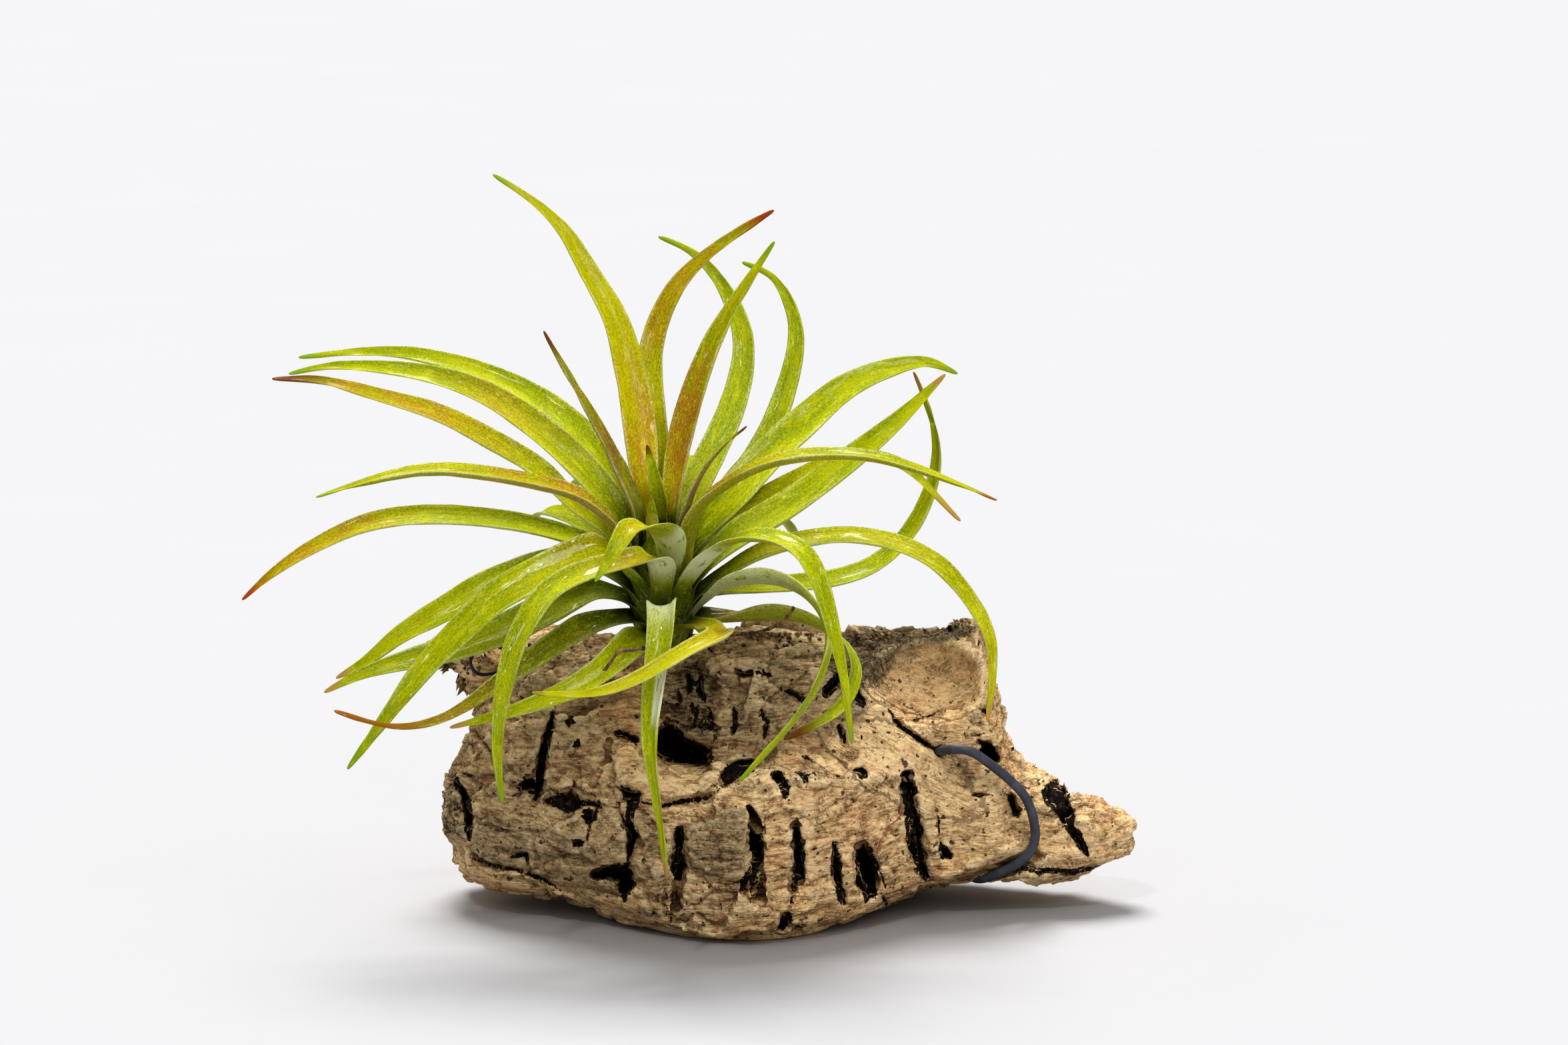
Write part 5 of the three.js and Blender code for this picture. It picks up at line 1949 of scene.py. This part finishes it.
        # Painted shade in hollows and painted highlight on crowns, weaker where the bark is smooth.
        hollow, crown_highlight = self.curvature(piece)
        hollow *= 1 - 0.8 * smoothed
        write_marks(piece, "bark", (crevice_shade, grey, smoothed))
        write_marks(piece, "relief", (hollow, crown_highlight, self.region(self.moss, points)))
        stains = [self.region(patches, points) * facing for patches in (self.soot_and_shadow, self.rust, self.chalk_and_highlight)]
        write_marks(piece, "stain", stains)
        write_vectors(piece, "grain", self.grain_run(points, facing))

    def grain_run(self, points: Array, facing: Array) -> Array:
        """Lays the grain's own directions over the bark.

        Args:
            points: The bark's points in millimetres.
            facing: How far each point faces the front.

        Returns:
            For each point, its place along the grain, across it and through it.
        """
        pixels = VIEW.pixels(points)
        wave = 1.5 * noise(points, 16.0, 61) + 0.5 * noise(points, 6.0, 62)
        run = np.stack([points[:, 0], points[:, 2] + wave, points[:, 1]], axis=1)
        scale = VIEW.pixels_per_mm
        offset = (pixels - np.array(self.wing_centre)) / scale
        turn = 20 * np.arctan2(offset[:, 1], offset[:, 0])
        ring = np.stack([turn, np.hypot(*offset.T) + 0.6 * wave, points[:, 1] / 4], axis=1)
        wing = self.wing.share(pixels, 0.5 * noise(points, 4.0, 63)) * facing
        along, beside = turned(pixels / scale, self.plane.turn)
        slope = np.stack([along, beside + 0.5 * wave, points[:, 1] / 4], axis=1)
        plane = self.plane.share(pixels, 0.5 * noise(points, 4.0, 64)) * facing
        run = np.where(plane[:, None] > 0.5, slope, run)
        return np.where(wing[:, None] > 0.5, ring, run)

    def curvature(self, piece: Object) -> tuple[Array, Array]:
        """Measures how hollow or crowned the surface is at each point, finely and broadly.

        Args:
            piece: The bark.

        Returns:
            The share of painted shade in hollows and the share of painted highlight on crowns.
        """
        mesh = piece.data
        points = points_of(piece)
        normals = normals_of(piece)
        pairs = np.empty(len(mesh.edges) * 2, np.int64)
        mesh.edges.foreach_get("vertices", pairs)
        first, second = pairs.reshape(-1, 2).T
        count = np.bincount(pairs, minlength=len(points))
        value = points
        bends = []
        for turn in range(self.broad_bend + 1):
            columns = [
                np.bincount(first, column[second], len(points))
                + np.bincount(second, column[first], len(points))
                for column in value.T
            ]
            value = np.stack(columns, axis=1) / count[:, None]
            if turn in (self.fine_bend, self.broad_bend):
                bends.append(((value - points) * normals).sum(axis=1))
        fine, broad = bends
        hollow = np.maximum(smooth_step(0.05, 0.4, fine), 0.9 * smooth_step(0.15, 0.9, broad))
        crown_highlight = np.maximum(smooth_step(0.05, 0.4, -fine), 0.7 * smooth_step(0.2, 1.0, -broad))
        return hollow, crown_highlight


# Loose fibres, crumbs and roots on the bark


@dataclass(frozen=True)
class BarkFront:
    """The bark's visible surface, to stand small pieces on."""

    points: Array
    pixels: Array

    @classmethod
    def of(cls, bark: Object) -> BarkFront:
        """Reads the surface of the finished bark."""
        points = points_of(bark)
        return cls(points, VIEW.pixels(points))

    def under(self, pixel: Sequence[float], slack: float = 5.0) -> Array:
        """Finds the place on the bark that is seen at a pixel, or the nearest to it.

        Args:
            pixel: The pixel, across and down.
            slack: How many pixels off the place may be.

        Returns:
            The place in millimetres.
        """
        gaps = np.hypot(*(self.pixels - np.array(pixel)).T)
        close = self.points[gaps < gaps.min() + slack]
        return close[np.argmin(close[:, 1])]


@dataclass(frozen=True)
class Scatter:
    """A line on the bark's front, in photograph pixels, with small pieces scattered along it."""

    start: Pair
    end: Pair
    count: int
    size: Pair
    lean: float = 90.0
    width: float = 4.0


@dataclass
class TornEdges:
    """The torn fibres and crumbs of cork along the bark's broken edges."""

    fibres: tuple[Scatter, ...] = (
        Scatter((641, 1008), (668, 988), 7, (1.6, 3.4), 200),
        Scatter((646, 1014), (700, 1042), 9, (1.2, 2.8), 245),
        Scatter((690, 988), (735, 985), 6, (1.0, 2.2), 130),
        Scatter((1272, 952), (1400, 944), 9, (0.6, 1.2), 150),
        Scatter((1405, 934), (1455, 926), 5, (0.6, 1.2), 140),
        Scatter((1560, 1170), (1600, 1168), 6, (0.6, 1.4), 60),
        Scatter((760, 975), (850, 985), 8, (0.8, 1.6), 160),
    )
    crumbs: tuple[Scatter, ...] = (
        Scatter((1125, 948), (1255, 950), 34, (0.5, 1.2), width=10),
        Scatter((1275, 952), (1400, 946), 30, (0.5, 1.1), width=8),
        Scatter((1406, 938), (1452, 928), 14, (0.6, 1.2), width=8),
        Scatter((650, 1010), (735, 1000), 14, (0.5, 1.0), width=8),
        Scatter((1050, 1330), (1120, 1335), 8, (0.4, 0.8), width=6),
    )
    fibre_radius: float = 0.3
    crumb_cuts: tuple[Triple, ...] = ((1.0, 0.3, 0.4), (-0.5, 1.0, 0.2), (-0.3, -0.6, 1.0))
    seed: int = 7

    def build(self, front: BarkFront) -> None:
        """Models one fibre and one crumb and sets their copies on the bark.

        Args:
            front: The bark's surface.
        """
        draw = np.random.default_rng(self.seed)
        self.strew(self.fibre(), self.fibres, front, draw, "torn_fibres", 45.0)
        self.strew(self.crumb(), self.crumbs, front, draw, "cork_crumbs", 225.0)

    def fibre(self) -> Object:
        """Models one bent, tapering fibre 1 mm long that stands on the origin.

        Returns:
            The fibre.
        """
        bpy.ops.object.select_all(action="DESELECT")
        bpy.ops.mesh.primitive_cone_add(vertices=6, radius1=self.fibre_radius * MM, depth=MM)
        model = bpy.context.object
        with edited(model):
            bpy.ops.mesh.subdivide(number_cuts=2)
            bpy.ops.transform.vertex_random(offset=0.04 * MM, seed=self.seed)
        points = points_of(model)
        points[:, 2] += 0.5
        points[:, 0] += 0.25 * np.maximum(points[:, 2], 0) ** 2
        move_points(model, points)
        return model

    def crumb(self) -> Object:
        """Models one broken crumb 1 mm wide on the origin.

        Returns:
            The crumb.
        """
        bpy.ops.object.select_all(action="DESELECT")
        bpy.ops.mesh.primitive_ico_sphere_add(subdivisions=2, radius=0.5 * MM)
        model = bpy.context.object
        with edited(model):
            for cut in self.crumb_cuts:
                place = tuple(Vector(cut).normalized() * 0.3 * MM)
                bpy.ops.mesh.bisect(plane_co=place, plane_no=cut, use_fill=True, clear_outer=True)
                bpy.ops.mesh.select_all(action="SELECT")
            bpy.ops.transform.vertex_random(offset=0.05 * MM, seed=self.seed)
        return model

    @staticmethod
    def strew(
        model: Object,
        lines: Sequence[Scatter],
        front: BarkFront,
        draw: np.random.Generator,
        name: str,
        roll: float,
    ) -> None:
        """Sets copies of a model along lines on the bark and joins them to one piece.

        Args:
            model: The modelled fibre or crumb.
            lines: Where its copies go.
            front: The bark's surface.
            draw: The source of the random draws.
            name: The joined piece's name.
            roll: How far each copy may be turned out of its line's lean, in degrees.
        """
        shape = points_of(model)
        copies = []
        for line in lines:
            for _ in range(line.count):
                part, side, turn, tilt, size = draw.random(5)
                pixel = np.array(line.start) + part * (np.array(line.end) - np.array(line.start))
                pixel[1] += line.width * (side - 0.3)
                length = line.size[0] + size * (line.size[1] - line.size[0])
                angle = math.radians(line.lean + roll * (2 * turn - 1))
                aim = Vector((math.cos(angle), -0.9 * tilt, math.sin(angle))).normalized()
                facing = np.array(aim.to_track_quat("Z", "X").to_matrix())
                copy = bpy.data.objects.new(name, model.data.copy())
                bpy.context.scene.collection.objects.link(copy)
                foot = front.under(pixel) - 0.15 * length * np.array(aim)
                move_points(copy, length * shape @ facing.T + foot)
                copies.append(copy)
        bpy.data.objects.remove(model)
        alone(copies[0])
        for copy in copies:
            copy.select_set(True)
        bpy.ops.object.join()
        finish_piece(copies[0], LooseCork().material(), "cork")


@dataclass(frozen=True)
class Rootlet:
    """A thin dry root that clings to the bark: its corners in photograph pixels."""

    name: str
    corners: tuple[Pair, ...]
    radius: float

    def build(self, front: BarkFront) -> None:
        """Draws a round section out along the root's line.

        Args:
            front: The bark's surface.
        """
        path = np.array([front.under(corner, 3.0) for corner in self.corners])
        path -= 2.0 * self.radius * VIEW.axes()[2]
        bpy.ops.object.select_all(action="DESELECT")
        bpy.ops.mesh.primitive_circle_add(vertices=8, radius=self.radius * MM, fill_type="NGON")
        piece = bpy.context.object
        piece.name = self.name
        move_points(piece, points_of(piece) + path[0])
        with edited(piece):
            for step in np.diff(path, axis=0):
                bpy.ops.mesh.extrude_region_move(TRANSFORM_OT_translate={"value": tuple(step * MM)})
            bpy.ops.mesh.select_all(action="SELECT")
            bpy.ops.mesh.normals_make_consistent()
        finish_piece(piece, Rootstock(dark="#8A4A38", light="#B87E62").material("pink_root"), "cork")


@dataclass(frozen=True)
class LooseCork:
    """Torn cork: brown and matt, darker in streaks along each fibre."""

    colour: str = "#7E6440"
    dark: str = "#33261A"
    pale: str = "#B09264"

    def material(self) -> Material:
        """Makes the material. Its blotches are 1.5 mm wide."""
        return Finish(
            name="torn_cork",
            base=self.colour,
            steps={
                "blotches": Grain("object", (650.0, 650.0, 650.0), 4.0),
                "grit": Grain("object", (2600.0, 2600.0, 2600.0), 3.0),
                "dark_blotches": Band("blotches", 0.48, 0.6),
                "pale_blotches": Band("blotches", 0.46, 0.36),
            },
            layers=(
                Layer(self.dark, ("dark_blotches",), 0.9),
                Layer(self.pale, ("pale_blotches",), 0.8),
            ),
            relief={"grit": 1.0},
            relief_depth=0.12,
            relief_strength=0.5,
            values={"Roughness": 0.92},
        ).material()


PINK_ROOT = Rootlet(
    "pink_rootlet",
    ((1357, 1207), (1351, 1216), (1346, 1226), (1337, 1236), (1329, 1248), (1323, 1262), (1318, 1279)),
    0.2,
)


# Rootstock and wires


@dataclass
class Rootstock:
    """The stem with its roots, rough with the scars of old leaves."""

    voxel: float = 0.32
    rough: float = 0.22
    dark: str = "#3E2A1A"
    light: str = "#8A6844"

    def build(self, node: Object) -> None:
        """Makes the rootstock from its solid.

        Args:
            node: The stem's solid.
        """
        piece = merged_copy(node, "rootstock")
        apply_modifier(piece, "REMESH", mode="VOXEL", voxel_size=self.voxel * MM)
        points = points_of(piece)
        lift = self.rough * (noise(points, 1.5, 51) + 0.5 * noise(points, 0.7, 52) - 0.4)
        move_points(piece, points + normals_of(piece) * lift[:, None])
        finish_piece(piece, self.material("dry_root_fibre"), "stem", "stem")

    def material(self, name: str) -> Material:
        """Makes dry root fibre: matt, brown, with streaks along it 1 mm wide.

        Args:
            name: The material's name.

        Returns:
            The material.
        """
        return Finish(
            name=name,
            base=self.dark,
            steps={
                "streaks": Grain("object", (900.0, 900.0, 220.0), 4.0),
                "scars": Grain("object", (300.0, 300.0, 420.0), 4.0, 0.6),
                "light_streaks": Band("streaks", 0.4, 0.62),
                "dark_scars": Band("scars", 0.5, 0.62),
            },
            layers=(
                Layer(self.light, ("light_streaks",)),
                Layer(self.dark, ("dark_scars",), 0.7),
            ),
            relief={"streaks": 1.0, "dark_scars": -0.5},
            relief_depth=0.3,
            relief_strength=0.6,
            values={"Roughness": 0.8},
        ).material()


@dataclass(frozen=True)
class Wire:
    """One wire: its piece's name, its slot, the colours of its coating and its gloss."""

    name: str
    slot: str
    finish: str
    colour: str
    worn: str
    roughness: float
    regain: float

    def build(self, node: Object) -> None:
        """Rounds the wire and gives it back the radius that rounding takes.

        Args:
            node: The wire's solid.
        """
        piece = merged_copy(node, self.name)
        with edited(piece):
            bpy.ops.mesh.tris_convert_to_quads()
        apply_modifier(piece, "SUBSURF", levels=2, render_levels=2)
        move_points(piece, points_of(piece) + normals_of(piece) * self.regain)
        finish_piece(piece, self.material(), self.slot, node.name)

    def material(self) -> Material:
        """Makes the coating: even and smooth, with dull patches 3 mm wide where it is rubbed."""
        return Finish(
            name=self.finish,
            base=self.colour,
            steps={
                "wear": Grain("object", (330.0, 330.0, 330.0), 5.0),
                "grit": Grain("object", (3000.0, 3000.0, 3000.0), 3.0),
                "rubbed": Band("wear", 0.42, 0.66),
                "dust": Band("grit", 0.6, 0.7),
            },
            layers=(Layer(self.worn, ("rubbed",)), Layer(self.worn, ("dust",), 0.5)),
            relief={"grit": 1.0},
            relief_depth=0.05,
            relief_strength=0.2,
            values={"Roughness": self.roughness},
        ).material()


TIE_WIRE = Wire("tie", "coated_wire", "grey_pvc_coated_wire", "#35373F", "#474A55", 0.55, regain=0.088)
HANGING_LOOP = Wire("loop", "black_wire", "black_enamelled_wire", "#0C0C0E", "#1B1B1E", 0.4, regain=0.034)


def main() -> None:
    """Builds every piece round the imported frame."""
    logging.basicConfig(level=logging.INFO, format="%(name)s %(message)s")
    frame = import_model()
    nodes = frame["nodes"]
    slots = {row["node"]: row["material_slot"] for row in frame["record"]["subparts"]}
    Studio().build()
    Rosette(LEAF_LOOKS, LEAF_SKINS).build(nodes, slots)
    clear = [node for name, node in nodes.items() if name != "cork_bark"]
    bark = CorkBark().build(nodes["cork_bark"], clear)
    front = BarkFront.of(bark)
    TornEdges().build(front)
    PINK_ROOT.build(front)
    Rootstock().build(nodes["stem"])
    TIE_WIRE.build(nodes["tie_wire"])
    HANGING_LOOP.build(nodes["hanging_loop"])


if __name__ == "__main__":
    main()
